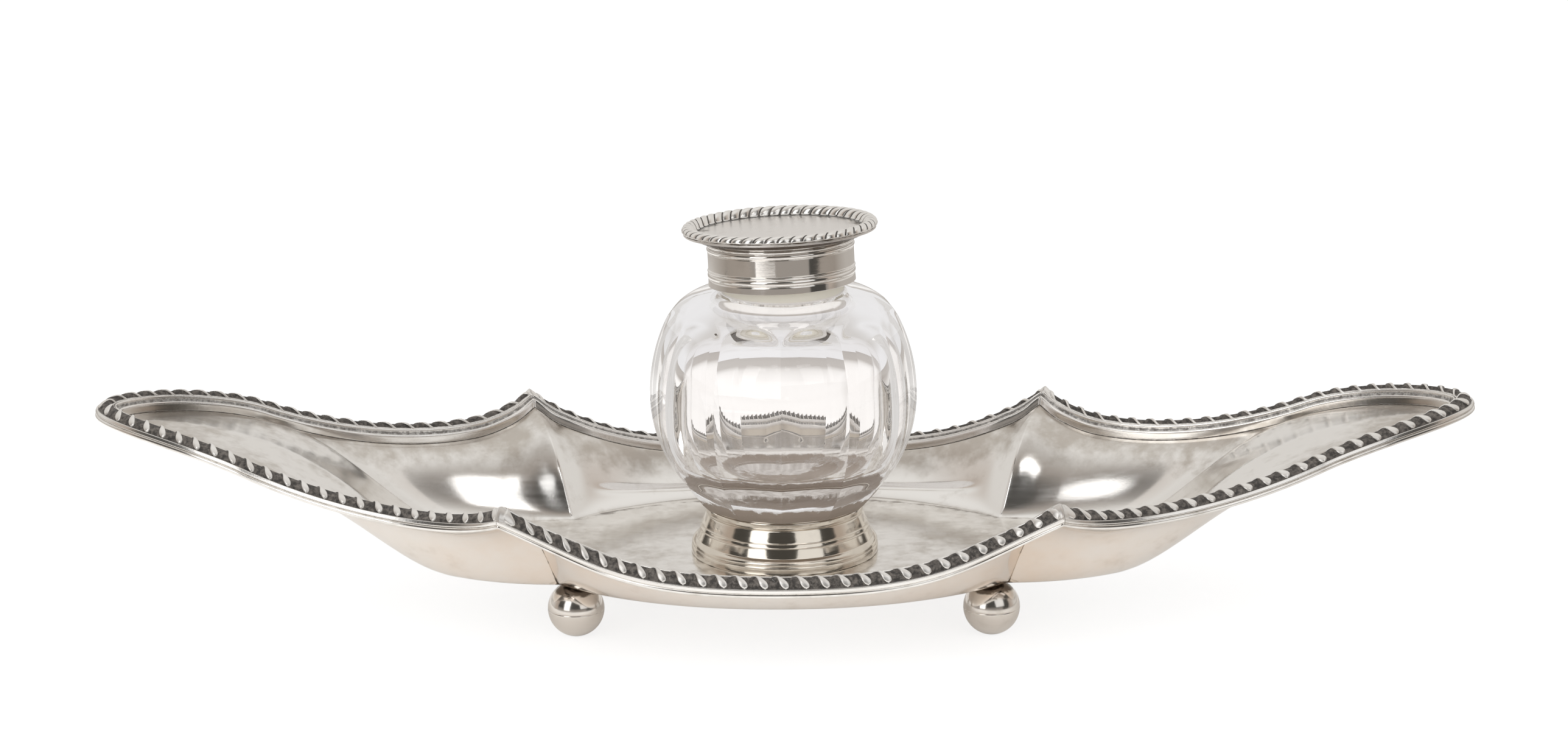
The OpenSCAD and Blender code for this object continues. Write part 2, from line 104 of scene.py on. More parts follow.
def makePiece(name, points, faces, body, slot, material, replaces, values, sharp=None):
    # A mesh object of the points in millimetres, riding on its body and standing for its solids.
    mesh = bpy.data.meshes.new(name)
    mesh.from_pydata((points / metre).tolist(), [], faces)
    mesh.shade_smooth()
    if sharp:
        mesh.set_sharp_from_angle(angle=math.radians(sharp))
    for label, numbers in values.items():
        dots = mesh.attributes.new(label, "FLOAT", "POINT").data
        dots.foreach_set("value", numbers.astype(np.float32).ravel())
    mesh.materials.append(material)
    piece = addObject(name, mesh)
    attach(piece, body)
    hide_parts(*replaces)
    print("made", name, len(mesh.polygons), "faces")


def poleMesh(grid):
    # A closed surface of rings (rows) round an axis, whose first and last rows are single points.
    rows, columns = grid.shape[0], grid.shape[1]
    points = np.vstack([grid[1:-1].reshape(-1, 3), grid[:1, 0], grid[-1:, 0]])
    quads = gridFaces(rows - 2, columns)
    c = np.arange(columns)
    n = (c + 1) % columns
    last = (rows - 3) * columns
    start, end = len(points) - 2, len(points) - 1
    first = np.stack([n, c, np.full(columns, start)], -1)
    final = np.stack([last + c, last + n, np.full(columns, end)], -1)
    return points, closedFaces(points, quads, np.vstack([first, final]))


def ringMesh(grid):
    # A closed surface whose rows close on themselves and whose last row joins the first, as on a tube.
    rows, columns = grid.shape[0], grid.shape[1]
    points = grid.reshape(-1, 3)
    quads = gridFaces(rows + 1, columns) % (rows * columns)
    return points, closedFaces(points, quads, np.zeros((0, 3), int))


def crisp(profile, gap=0.04):
    # Extra points close to each corner of a profile, so that its flats stay flat under smooth shading.
    a, b = profile[:-1], profile[1:]
    share = np.minimum(gap / np.linalg.norm(b - a, axis=1), 1 / 3)[:, None]
    return np.vstack([np.stack([a, mixed(a, b, share), mixed(b, a, share)], 1).reshape(-1, 2), profile[-1:]])


def aroundAxis(radius, height):
    # Rings round the upright axis, from the radius at each row and column and the height of each row.
    angle = np.linspace(0, 2 * np.pi, radius.shape[1], endpoint=False)
    height = np.broadcast_to(height, radius.shape)
    return np.stack([radius * np.cos(angle), radius * np.sin(angle), height], -1)


def turned(profile, columns):
    # A profile of (radius, height) carried round the upright axis.
    return aroundAxis(np.repeat(profile[:, :1], columns, 1), profile[:, 1:])


# Camera and light

cameraFit = {
    "place": (16.948, -920.0, 296.177),
    "yaw": -1.044, "pitch": -15.144, "roll": -0.576,  # degrees
    "focalPixels": 8309.91,
    "imageWidth": 2576,
    "sensor": 36.0,
    "near": 0.02, "far": 30,  # metres that it sees between
}


def makeCamera(fit):
    # The camera stands where it stood for the photograph and looks along its yaw, pitch and roll.
    yaw, pitch, roll = (math.radians(fit[a]) for a in ("yaw", "pitch", "roll"))
    ahead = np.array([math.sin(yaw) * math.cos(pitch), math.cos(yaw) * math.cos(pitch), math.sin(pitch)])
    level = np.array([math.cos(yaw), -math.sin(yaw), 0.0])
    over = np.cross(level, ahead)
    right = level * math.cos(roll) + over * math.sin(roll)
    up = -level * math.sin(roll) + over * math.cos(roll)
    data = bpy.data.cameras.new("camera")
    data.sensor_width = fit["sensor"]
    data.lens = fit["focalPixels"] * fit["sensor"] / fit["imageWidth"]
    data.clip_start, data.clip_end = fit["near"], fit["far"]
    camera = addObject("camera", data)
    setAxes(camera, [right, up, -ahead, np.array(fit["place"]) / metre])
    bpy.context.scene.camera = camera


def linear(hexText):
    # A colour written as sRGB hex, as the linear numbers that a shader takes.
    parts = [int(hexText[i:i + 2], 16) / 255 for i in (1, 3, 5)]
    return tuple(p / 12.92 if p <= 0.04045 else ((p + 0.055) / 1.055) ** 2.4 for p in parts) + (1.0,)


def addNode(tree, kind, given=(), **settings):
    # Adds one node with its settings. A dictionary names the sockets that it fills, and a list fills those in
    # use in their order. Each gets a value, or a link from a socket or from a node's first output in use.
    node = tree.nodes.new("ShaderNode" + kind)
    for name, value in settings.items():
        setattr(node, name, value)
    named = isinstance(given, dict)
    inUse = [socket for socket in node.inputs if socket.enabled]
    pairs = [(node.inputs[name], given[name]) for name in given] if named else zip(inUse, given)
    for socket, value in pairs:
        if isinstance(value, bpy.types.Node):
            value = next(output for output in value.outputs if output.enabled)
        if isinstance(value, bpy.types.NodeSocket):
            tree.links.new(value, socket)
        else:
            socket.default_value = value
    return node


# A MapRange takes its input, the two values that it runs between and what these become, at first 0 and 1.
eased = {"interpolation_type": "SMOOTHSTEP"}  # for a range with soft ends
ofColour = {"data_type": "RGBA"}  # for a mix of two colours


def newMaterial(name):
    # An empty node material, and what adds a node to it.
    material = bpy.data.materials.new(name)
    material.use_nodes = True
    material.node_tree.nodes.clear()
    return material, partial(addNode, material.node_tree)


studio = {
    "lightLevel": 0.9,  # what a plain surface gets from all round
    "behind": "#DEDBD7",  # pale wall behind, as metal sees it
    "sides": "#BCB0A6",  # warm walls at the sides
    "over": "#ECEAE7",  # ceiling
    "overFront": "#A39C95",  # ceiling towards the room
    "roomLow": "#A09A94",  # the room in front, at table height and below
    "roomHigh": "#4A4845",  # the room in front, above the table
    "throughBack": "#EEEEEF",  # pale wall behind, as glass sees it
    "throughTop": "#D2CFCC",  # ceiling, as glass sees it
    "throughFront": "#C4BFBA",  # room in front, as glass sees it
}
# Edges of the studio's parts: an axis of the direction looked in, where a part starts and where it is whole.
# Those of slopeEdges use the full direction, and those of levelEdges the direction levelled to the floor.
slopeEdges = {
    "notHigh": ("Z", 0.88, 0.72), "lowRoom": ("Z", 0.24, 0.04), "ceiling": ("Z", 0.62, 0.92),
    "side": ("Y", 0.35, -0.10), "ceilingBack": ("Y", -0.60, 0.0), "glassTop": ("Z", 0.25, 0.70),
    "glassFront": ("Y", -0.15, -0.55),
}
levelEdges = {"inFront": ("Y", -0.17, -0.25), "doorLeft": ("X", 0.69, 0.73), "doorRight": ("X", 0.965, 0.945)}


def makeWorld(look):
    # White to the camera. Metal sees pale walls behind and above and a dim room in front, and glass the same,
    # but softer.
    world = bpy.data.worlds.new("studio")
    bpy.context.scene.world = world
    world.use_nodes = True
    world.node_tree.nodes.clear()
    add = partial(addNode, world.node_tree)
    rays = add("LightPath").outputs
    direction = add("TexCoord").outputs["Generated"]
    flat = add("VectorMath", [direction, (1, 1, 0)], operation="MULTIPLY")
    heading = add("VectorMath", [flat], operation="NORMALIZE")
    part = {}
    for looked, edges in ((direction, slopeEdges), (heading, levelEdges)):
        axes = add("SeparateXYZ", [looked]).outputs
        for name, (axis, start, whole) in edges.items():
            part[name] = add("MapRange", [axes[axis], start, whole], **eased)
    tone = {name: linear(text) for name, text in look.items() if isinstance(text, str)}
    doorway = add("Math", [part["doorLeft"], part["doorRight"]], operation="MULTIPLY")
    room = add("Mix", [part["lowRoom"], tone["roomHigh"], tone["roomLow"]], **ofColour)
    room = add("Mix", [doorway, room, tone["roomHigh"]], **ofColour)
    wall = add("Mix", [part["side"], tone["behind"], tone["sides"]], **ofColour)
    overhead = add("Mix", [part["ceilingBack"], tone["overFront"], tone["over"]], **ofColour)
    shell = add("Mix", [part["ceiling"], wall, overhead], **ofColour)
    openFront = add("Math", [part["inFront"], part["notHigh"]], operation="MULTIPLY")
    metalSees = add("Mix", [openFront, shell, room], **ofColour)
    upwards = add("Mix", [part["glassTop"], tone["throughBack"], tone["throughTop"]], **ofColour)
    glassFront = add("Math", [part["glassFront"], part["notHigh"]], operation="MULTIPLY")
    glassSees = add("Mix", [glassFront, upwards, tone["throughFront"]], **ofColour)
    seen = add("Mix", [rays["Is Transmission Ray"], metalSees, glassSees], **ofColour)
    direct = add("Math", [rays["Is Glossy Ray"], rays["Is Transmission Ray"]], operation="MAXIMUM")
    level = look["lightLevel"]
    lit = add("Mix", [direct, (level, level, level, 1), seen], **ofColour)
    shown = add("Mix", [rays["Is Camera Ray"], lit, (1, 1, 1, 1)], **ofColour)
    add("OutputWorld", [add("Background", [shown])])


table = {
    "halfWidth": 1500.0, "front": -300.0, "back": 3000.0,
    "colour": "#F4F2EF", "glow": 0.78, "shadowShare": 0.32,
    "mirrorGlow": 0.14,  # what metal sees more, near the stand
    "dim": "#9C948C", "dimFrom": 190.0, "dimTo": 285.0,  # what metal sees further away
    "dimBehind": 0.75, "behindFrom": 20.0, "behindTo": 200.0,
    "dimRight": 0.75, "rightFrom": 60.0, "rightTo": 200.0,
}


def makeTable(look):
    # A pale table top whose far parts metal sees dim and warm. The camera sees white with a faint shadow.
    material, add = newMaterial("paleTable")
    metres = {name: size / metre for name, size in look.items() if not isinstance(size, str)}
    rays = add("LightPath").outputs
    where = add("TexCoord").outputs["Object"]
    axes = add("SeparateXYZ", [where]).outputs
    away = add("VectorMath", [where], operation="LENGTH")
    far = add("MapRange", [away, metres["dimFrom"], metres["dimTo"]], **eased)
    behind = add("MapRange", [axes["Y"], metres["behindFrom"], metres["behindTo"], 1.0, look["dimBehind"]])
    right = add("MapRange", [axes["X"], metres["rightFrom"], metres["rightTo"], 0.0, look["dimRight"]])
    dimmed = add("Math", [far, behind], operation="MULTIPLY")
    dimmer = add("Math", [dimmed, right], operation="MAXIMUM")
    mirroredDim = add("Math", [dimmer, rays["Is Glossy Ray"]], operation="MULTIPLY")
    lit = add("Mix", [mirroredDim, linear(look["colour"]), linear(look["dim"])], **ofColour)
    share = look["shadowShare"]
    shade = add("Mix", [rays["Is Camera Ray"], lit, (share, share, share, 1)], **ofColour)
    matt = add("BsdfDiffuse", [shade])
    bright = add("Math", [1.0, mirroredDim], operation="SUBTRACT")
    lift = add("Math", [rays["Is Glossy Ray"], bright], operation="MULTIPLY")
    raised = add("Math", [lift, look["mirrorGlow"]], operation="MULTIPLY")
    strength = add("Math", [rays["Is Camera Ray"], look["glow"], raised], operation="MULTIPLY_ADD")
    glow = add("Emission", [(1, 1, 1, 1), strength])
    add("OutputMaterial", [add("AddShader", [matt, glow])])
    side, front, back = (metres[name] for name in ("halfWidth", "front", "back"))
    mesh = bpy.data.meshes.new("table")
    corners = [(-side, front, 0), (side, front, 0), (side, back, 0), (-side, back, 0)]
    mesh.from_pydata(corners, [], [(0, 1, 2, 3)])
    mesh.materials.append(material)
    addObject("table", mesh)


# Soft boxes in front, by azimuth from the camera's side and by elevation, in degrees
softBoxes = {
    "left_high": {"azimuth": (-49, -25), "elevation": (4, 54), "radiance": 1.7},
    "left_low": {"azimuth": (-39, -8), "elevation": (-19, -4), "radiance": 0.9},
    "left_top": {"azimuth": (-21, -11), "elevation": (42, 50), "radiance": 1.1},
    "right": {"azimuth": (19, 53), "elevation": (12, 50), "radiance": 0.9},
    "right_top": {"azimuth": (14, 34), "elevation": (52, 59), "radiance": 1.6},
}
cardDistance = 1100.0


def makeSoftBox(name, look):
    # A flat lamp square to the line from the stand, as wide and high as its angles ask.
    angles = look["azimuth"], look["elevation"]
    azimuth, elevation = (math.radians(sum(pair) / 2) for pair in angles)
    reach = math.cos(elevation)
    ahead = np.array([math.sin(azimuth) * reach, -math.cos(azimuth) * reach, math.sin(elevation)])
    size = [2 * cardDistance * math.tan(math.radians(high - low) / 2) / metre for low, high in angles]
    data = bpy.data.lights.new(name, "AREA")
    data.shape = "RECTANGLE"
    data.size, data.size_y = size
    data.energy = look["radiance"] * math.pi * size[0] * size[1]
    lamp = addObject(name, data)
    lamp.visible_camera = False
    across = np.cross([0, 0, 1], ahead)
    across /= np.linalg.norm(across)
    setAxes(lamp, [across, np.cross(ahead, across), ahead, ahead * cardDistance / metre])


makeCamera(cameraFit)
makeWorld(studio)
makeTable(table)
for boxName, boxLook in softBoxes.items():
    makeSoftBox("soft_box_" + boxName, boxLook)
bpy.context.scene.view_settings.view_transform = "Standard"
print("camera and light set")

# Materials


def perMetre(size):
    # Scale of a noise whose grains are about size millimetres.
    return metre / size


plate = {
    "silver": "#F4F2EF",
    "film": "#BDB5AB",  # grey-brown sulphide film
    "grimeAndShade": "#54493E",  # brown where a cloth doesn't reach, and painted shade in joints, on the balls and under the lid
    "blush": "#F0E3D6",  # thin warm tarnish on the outside of the tray
    "oxide": "#35312E", "rubbed": "#7C756E",  # blackened hollows of the casting
    "cloudSize": 16, "blotSize": 3.2, "pitSize": 0.5,  # film patches, their ragged edges and fine pits
    "castCloudSize": 9, "castGrainSize": 0.9,
    "markDepth": 0.02, "castDepth": 0.05,  # bumps of the wipe marks and pits, and of the casting's grain
    "ribRoughness": 0.36, "oxideRoughness": 0.55,
}


def platedSheet(name, roughness, film, brush, grimeAndShade, silver=plate["silver"]):
    # Electroplated nickel silver, planished and polished by hand: near-mirror, a little grey,
    # with a thin brown film in patches that thickens under the border, and fine wipe marks.
    material, add = newMaterial(name)
    where = add("TexCoord").outputs["Object"]
    labels = "underRim", "corner", "warm"
    underRim, corner, warm = (add("Attribute", attribute_name=label).outputs["Fac"] for label in labels)
    cloud = add("TexNoise", [where, perMetre(plate["cloudSize"]), 5, 0.62])
    blots = add("TexNoise", [where, perMetre(plate["blotSize"]), 4, 0.55])
    fine = add("TexNoise", [where, perMetre(plate["pitSize"]), 3, 0.6])
    patchy = add("Math", [cloud, blots], operation="MULTIPLY")
    spread = add("Math", [underRim, 0.30], operation="MULTIPLY")
    reach = add("Math", [patchy, spread], operation="ADD")
    stain = add("MapRange", [reach, 0.26, 0.60, 0.0, film], **eased)
    tinted = add("Mix", [stain, linear(silver), linear(plate["film"])], **ofColour)
    uneven = add("Math", [warm, cloud], operation="MULTIPLY")
    blush = add("MapRange", [uneven, 0.1, 0.6])
    tanned = add("Mix", [blush, tinted, linear(plate["blush"])], **ofColour)
    # The corner attribute darkens towards the brown: grime where a cloth doesn't reach, and painted shade
    # where other pieces shadow this one
    paintedShadeAndGrime = add("Math", [corner, blots], operation="MULTIPLY")
    shadeAndGrimeShare = add("MapRange", [paintedShadeAndGrime, 0.38, 0.56, 0.0, grimeAndShade])
    shade = add("Mix", [shadeAndGrimeShare, tanned, linear(plate["grimeAndShade"])], **ofColour)
    wipes = add("Mapping", {"Vector": where, "Scale": brush})
    marks = add("TexNoise", [wipes, 1.0, 3, 0.7])
    dull = add("MapRange", [marks, 0.3, 0.7, roughness * 0.82, roughness * 1.25])
    rougher = add("Math", [stain, 0.10], operation="MULTIPLY")
    total = add("Math", [dull, rougher], operation="ADD")
    bump = {"Strength": 0.10, "Distance": plate["markDepth"] / metre}
    lines = add("Bump", {**bump, "Height": marks})
    pits = add("Bump", {**bump, "Height": fine, "Normal": lines})
    metal = add("BsdfPrincipled", {"Metallic": 1.0, "Base Color": shade, "Roughness": total, "Normal": pits})
    add("OutputMaterial", [metal])
    return material


def platedCasting(name, roughness, tarnish):
    # Cast and plated gadroon moulding, blackened and wiped: bright on the ribs and beads, matt black in the
    # flutes. The same black also paints shadow along the moulding's feet.
    material, add = newMaterial(name)
    where = add("TexCoord").outputs["Object"]
    hollow, rib = (add("Attribute", attribute_name=label).outputs["Fac"] for label in ("hollow", "rib"))
    grain = add("TexNoise", [where, perMetre(plate["castGrainSize"]), 5, 0.7])
    cloud = add("TexNoise", [where, perMetre(plate["castCloudSize"]), 3])
    uneven = add("MapRange", [grain, 0.3, 0.7, -0.22, 0.22])
    reach = add("Math", [hollow, uneven], operation="ADD")
    black = add("MapRange", [reach, 0.30, 0.80], **eased)
    worn = add("MapRange", [cloud, 0.35, 0.7, 0.0, tarnish])
    tinted = add("Mix", [worn, linear(plate["silver"]), linear(plate["film"])], **ofColour)
    rubbed = add("MapRange", [grain, 0.42, 0.66, 0.0, 0.85])
    oxide = add("Mix", [rubbed, linear(plate["oxide"]), linear(plate["rubbed"])], **ofColour)
    shade = add("Mix", [black, tinted, oxide], **ofColour)
    satin = add("MapRange", [rib, 0.0, 1.0, roughness, plate["ribRoughness"]])
    rough = add("MapRange", [black, 0.0, 1.0, satin, plate["oxideRoughness"]])
    bare = add("MapRange", [black, 0.0, 1.0, 1.0, 0.15])
    bump = add("Bump", {"Strength": 0.2, "Distance": plate["castDepth"] / metre, "Height": grain})
    metal = add("BsdfPrincipled", {"Base Color": shade, "Metallic": bare, "Roughness": rough, "Normal": bump})
    add("OutputMaterial", [metal])
    return material


crystalLook = {
    "glass": "#FFFEFE", "ior": 1.52,
    "crustAndPaintedSeat": "#9A8570", "flakeSize": 2.2,  # old ink, and the painted brown of the metal seat seen through the glass's foot
    "speckAt": (-15.8, -15.5, 56.7), "speckFrom": 0.9, "speckWhole": 0.3,  # a speck of it on the outside
    "cement": "#E2DDD0",
    "lowStreaks": ("#7F746A", "#EAE5E0"), "highStreaks": ("#BDB9B5", "#F2F1F0"),  # where a ray ends
    "streakScale": (420, 420, 60),
    "lowTo": 26.0, "highFrom": 34.0,  # heights between which the streaks turn from low to high
    "mostTurns": 3.5, "seatTurns": 3.0,  # turns of a ray before it ends, and how many the seat counts for
}


def cutCrystal(look):
    # Lead glass, blown thick, cut and polished: clear, colourless, with a high index that lights its edges.
    # Old ink has dried to a thin brown crust in the corner of the chamber's floor, and cement shows round the
    # neck. The ground foot outside is painted the same brown, a painted reflection of the metal seat seen
    # through it. Light that has turned more than a few times inside, or went down into the seat, ends as a
    # streaky grey, where a render would give up in black.
    material, add = newMaterial("cutCrystal")
    where = add("TexCoord").outputs["Object"]
    labels = "ink", "cement", "seat"
    ink, cement, seat = (add("Attribute", attribute_name=label).outputs["Fac"] for label in labels)
    flakes = add("TexNoise", [where, perMetre(look["flakeSize"]), 6, 0.7])
    spread = add("Math", [ink, flakes], operation="MULTIPLY")
    crustAndPaintedSeat = add("MapRange", [spread, 0.33, 0.50, 0.0, 0.85])
    speckAt = [a / metre for a in look["speckAt"]]
    fromSpeck = add("VectorMath", [where, speckAt], operation="DISTANCE")
    speckEdge = [look["speckFrom"] / metre, look["speckWhole"] / metre]
    speck = add("MapRange", [fromSpeck, *speckEdge, 0.0, 0.8])
    brown = add("Math", [crustAndPaintedSeat, speck], operation="MAXIMUM")
    coated = add("Math", [brown, cement], operation="MAXIMUM")
    film = add("Mix", [cement, linear(look["crustAndPaintedSeat"]), linear(look["cement"])], **ofColour)
    tone = add("Mix", [coated, linear(look["glass"]), film], **ofColour)
    clear = add("Math", [1.0, coated], operation="SUBTRACT")
    rough = add("Math", [coated, 0.6], operation="MULTIPLY")
    glass = add("BsdfPrincipled", {
        "IOR": look["ior"], "Base Color": tone, "Roughness": rough, "Transmission Weight": clear})
    height = add("SeparateXYZ", [where]).outputs["Z"]
    upper = add("MapRange", [height, look["lowTo"] / metre, look["highFrom"] / metre])
    streaks = add("Mapping", {"Vector": where, "Scale": look["streakScale"]})
    streaky = add("TexNoise", [streaks, 1.0, 3])
    ends = look["lowStreaks"], look["highStreaks"]
    low, high = (add("Mix", [streaky, linear(dark), linear(pale)], **ofColour) for dark, pale in ends)
    deepTone = add("Mix", [upper, low, high], **ofColour)
    deepGlow = add("Emission", [deepTone, 1.0])
    depth = add("LightPath").outputs["Ray Depth"]
    turns = add("Math", [seat, look["seatTurns"], depth], operation="MULTIPLY_ADD")
    deep = add("Math", [turns, look["mostTurns"]], operation="GREATER_THAN")
    add("OutputMaterial", [add("MixShader", [deep, glass, deepGlow])])
    material.cycles.emission_sampling = "NONE"
    return material


plasterLook = {"dark": "#D9D3C6", "pale": "#EFEBE2", "grainSize": 0.6, "depth": 0.1, "roughness": 0.9}


def plasterFill(look):
    # Plaster of Paris, poured and set: chalk white, matt and finely pitted.
    material, add = newMaterial("plasterFill")
    where = add("TexCoord").outputs["Object"]
    grain = add("TexNoise", [where, perMetre(look["grainSize"]), 5])
    tone = add("Mix", [grain, linear(look["dark"]), linear(look["pale"])], **ofColour)
    bump = add("Bump", {"Strength": 0.4, "Distance": look["depth"] / metre, "Height": grain})
    chalk = add("BsdfPrincipled", {"Roughness": look["roughness"], "Base Color": tone, "Normal": bump})
    add("OutputMaterial", [chalk])
    return material


# Roughness, film, scale of the wipe marks along each axis, grime and painted shade, and the silver where it
# differs
trayPlate = platedSheet("platedTraySheet", 0.12, 0.85, (40, 900, 900), 0.7)
# The balls' silver is darker than the tray's, as painted shade from the tray above them
ballPlate = platedSheet("platedBalls", 0.14, 1.0, (500, 500, 1800), 0.9, "#E3DED8")
spunPlate = platedSheet("platedSpinning", 0.08, 0.95, (60, 60, 5200), 0.95, "#EEEBE7")
socketPlate = platedSheet("platedSocket", 0.10, 0.95, (60, 60, 5200), 0.95, "#E2DACE")
lidPlate = platedSheet("platedLid", 0.30, 0.5, (900, 90, 900), 0.95, "#EBE8E5")
# Roughness and film
castPlate = platedCasting("platedCasting", 0.17, 0.25)
lidCastPlate = platedCasting("platedLidCasting", 0.22, 0.05)
crystal = cutCrystal(crystalLook)
plaster = plasterFill(plasterLook)
print("materials made")

# Tray: its rim, floor and wall follow the same curves as the solid

ball = {"diameter": 10.6, "worn": 0.12, "seat": 0.18, "wall": 0.7, "inX": 2.4, "inY": 1.7, "columns": 72}
tray = {
    "length": 260.0, "width": 97.0, "sheet": 0.95,
    "sideRise": 10.1, "cuspRise": 21.6, "dipRise": 17.4, "neckRise": 25.8, "tipRise": 31.8,
    "cuspSpan": 103.0, "cuspWidth": 84.8, "neckSpan": 200.0, "neckWidth": 44.0, "tipWidth": 18.5,
    "floorLength": 101.0, "floorWidth": 67.0, "creaseSpan": 82.6, "wingFloor": 28.0,
}
border = {"width": 5.0, "height": 2.9, "roll": 20.0, "rollReach": 14.0, "mitreReach": 8.0}
trayZ = ball["diameter"] - ball["worn"] - ball["seat"]
floorZ = trayZ + tray["sheet"]

# Each quarter of the rim is three Bezier curves between these points, its inner handles at shares of the way.
tip = np.array([tray["length"] / 2, 0, trayZ + tray["tipRise"]])
neck = np.array([tray["neckSpan"] / 2, tray["neckWidth"] / 2, trayZ + tray["neckRise"]])
cusp = np.array([tray["cuspSpan"] / 2, tray["cuspWidth"] / 2, trayZ + tray["cuspRise"]])
sideMiddle = np.array([0, tray["width"] / 2, trayZ + tray["sideRise"]])
dipZ = trayZ + tray["dipRise"]
neckIn = np.array([neck[0] - 0.43 * (neck[0] - cusp[0]), neck[1] + 0.23 * (cusp[1] - neck[1]), dipZ])
rimSide = np.array([
    sideMiddle,
    [0.59 * cusp[0], sideMiddle[1], sideMiddle[2]],
    [0.66 * cusp[0], 0.92 * cusp[1], mixed(sideMiddle[2], cusp[2], 0.23)],
    cusp,
])
rimDip = np.array([
    cusp,
    [mixed(cusp[0], neck[0], 0.155), mixed(cusp[1], neck[1], 0.43), dipZ],
    neckIn,
    neck,
])
rimTip = np.array([
    neck,
    neck + 0.38 * (tip[0] - neck[0]) / (neck[0] - neckIn[0]) * (neck - neckIn),
    [tip[0], tray["tipWidth"] / 2, tip[2]],
    tip,
])
wingSteps, sideSteps = 16.0, 10.0  # stations from the tip to the cusp, and on to the middle of the side
quarter = wingSteps + sideSteps
neckShare, wingMiddle = 0.65, 0.45  # shares of a wing from its cusp: its neck, and the middle of its wall


def alongQuarter(k):
    # Station k as a share of the wing, from cusp to tip, as a share of the side, from its middle to the cusp,
    # and whether it is on the side.
    return 1 - k / wingSteps, 1 - (k - wingSteps) / sideSteps, k > wingSteps


def bezier(c, t):
    # Cubic Bezier curve: its four handles weighted by the shares of t.
    t = np.asarray(t)[:, None]
    return c[0] * (1 - t) ** 3 + 3 * c[1] * t * (1 - t) ** 2 + 3 * c[2] * t**2 * (1 - t) + c[3] * t**3


def bezierHeading(c, t):
    # Direction of that curve in plan.
    t = np.asarray(t)[:, None]
    way = (c[1] - c[0]) * (1 - t) ** 2 + 2 * (c[2] - c[1]) * t * (1 - t) + (c[3] - c[2]) * t**2
    return way[:, :2]


def rimQuarter(k):
    # Place and heading of the rim at station k: 0 is the tip, 16 the cusp, 26 the middle of the side.
    wing, side, onSide = alongQuarter(k)
    onTip = wing > neckShare
    place, heading = np.zeros((len(k), 3)), np.zeros((len(k), 2))
    spans = (
        (onSide, rimSide, side),
        (~onSide & ~onTip, rimDip, wing / neckShare),
        (~onSide & onTip, rimTip, (wing - neckShare) / (1 - neckShare)),
    )
    for mask, curve, share in spans:
        place[mask] = bezier(curve, share[mask])
        heading[mask] = bezierHeading(curve, share[mask])
    return place, heading


def outOf(heading):
    # Unit vector in plan, square to the heading and out of the tray.
    out = np.stack([np.abs(heading[:, 1]), np.abs(heading[:, 0])], -1)
    out /= np.linalg.norm(out, axis=1)[:, None]
    out[:, 0] *= np.where(heading[:, 0] * heading[:, 1] > 0, -1, 1)
    return out


def unitLeft(heading):
    # The heading turned a quarter to the left, at unit length.
    return np.array([-heading[1], heading[0]]) / np.hypot(*heading)


sideOut = unitLeft(bezierHeading(rimSide, [1.0])[0])
wingOut = unitLeft(bezierHeading(rimDip, [0.0])[0])
mitre = (sideOut + wingOut) / (1 + sideOut @ wingOut)


def atRim(k, d, h):
    # Points of the moulding at stations k, d in from its outer edge and h above its bead, rolled inwards
    # in the wings.
    place, heading = rimQuarter(k)
    far = np.hypot(place[:, 0] - cusp[0], place[:, 1] - cusp[1])
    out = mixed(mitre, outOf(heading), smooth(far / border["mitreReach"])[:, None])
    wingRoll = np.radians(border["roll"]) * smooth(far / border["rollReach"])
    roll = np.where(k >= wingSteps, 0.0, wingRoll)[:, None]
    pivot = -0.76 * border["height"]
    d, h = (np.broadcast_to(a, (len(k), np.shape(a)[-1])) for a in (d, h))
    up = h - pivot
    inward = d * np.cos(roll) + up * np.sin(roll)
    rise = pivot + up * np.cos(roll) - d * np.sin(roll)
    return np.stack([
        place[:, :1] - inward * out[:, :1], place[:, 1:2] - inward * out[:, 1:], place[:, 2:] + rise], -1)


creaseX = tray["creaseSpan"] / 2
creaseTurn = math.asin(tray["creaseSpan"] / tray["floorLength"])
creaseY = tray["floorWidth"] / 2 * math.cos(creaseTurn)


def floorEdge(k):
    # Edge of the flat floor: an ellipse between the creases, and a quarter ellipse into each wing.
    wing, side, onSide = alongQuarter(k)
    sideTurn, wingTurn = creaseTurn * side, np.pi / 2 * wing
    wingX = creaseX + tray["wingFloor"] * np.sin(wingTurn)
    x = np.where(onSide, tray["floorLength"] / 2 * np.sin(sideTurn), wingX)
    y = np.where(onSide, tray["floorWidth"] / 2 * np.cos(sideTurn), creaseY * np.cos(wingTurn))
    return np.stack([x, y], -1)


# Handles of the wall's section as shares of its run and rise
wallHandles = {
    "side": [[0.42, 0.0], [0.64, 0.42]],
    "crease": [[0.12, 0.0], [0.35, 0.85]],
    "wing": [[0.31, 0.03], [0.61, 0.88]],
    "keel": [[0.30, 0.75], [0.60, 0.97]],
}
wallHandles = {name: np.array(pair) for name, pair in wallHandles.items()}


def wallGrid(k, u):
    # Wall between the floor's edge (u = 0) and the border's inner edge (u = 1), its section a Bezier of run
    # and rise.
    wing, side, onSide = (a[:, None, None] for a in alongQuarter(k))
    low = mixed(wallHandles["crease"], wallHandles["wing"], smooth(wing / wingMiddle))
    high = mixed(wallHandles["wing"], wallHandles["keel"], smooth((wing - wingMiddle) / (1 - wingMiddle)))
    atSide = mixed(wallHandles["side"], wallHandles["crease"], side**3)
    handles = np.where(onSide, atSide, np.where(wing < wingMiddle, low, high))
    t = u[None, :, None]
    share = 3 * handles[:, None, 0] * t * (1 - t) ** 2 + 3 * handles[:, None, 1] * t**2 * (1 - t) + t**3
    top = atRim(k, [border["width"]], [-border["height"]])[:, 0]
    foot = np.concatenate([floorEdge(k), np.full((len(k), 1), floorZ)], 1)
    return mixed(foot[:, None], top[:, None], share[..., [0, 0, 1]])


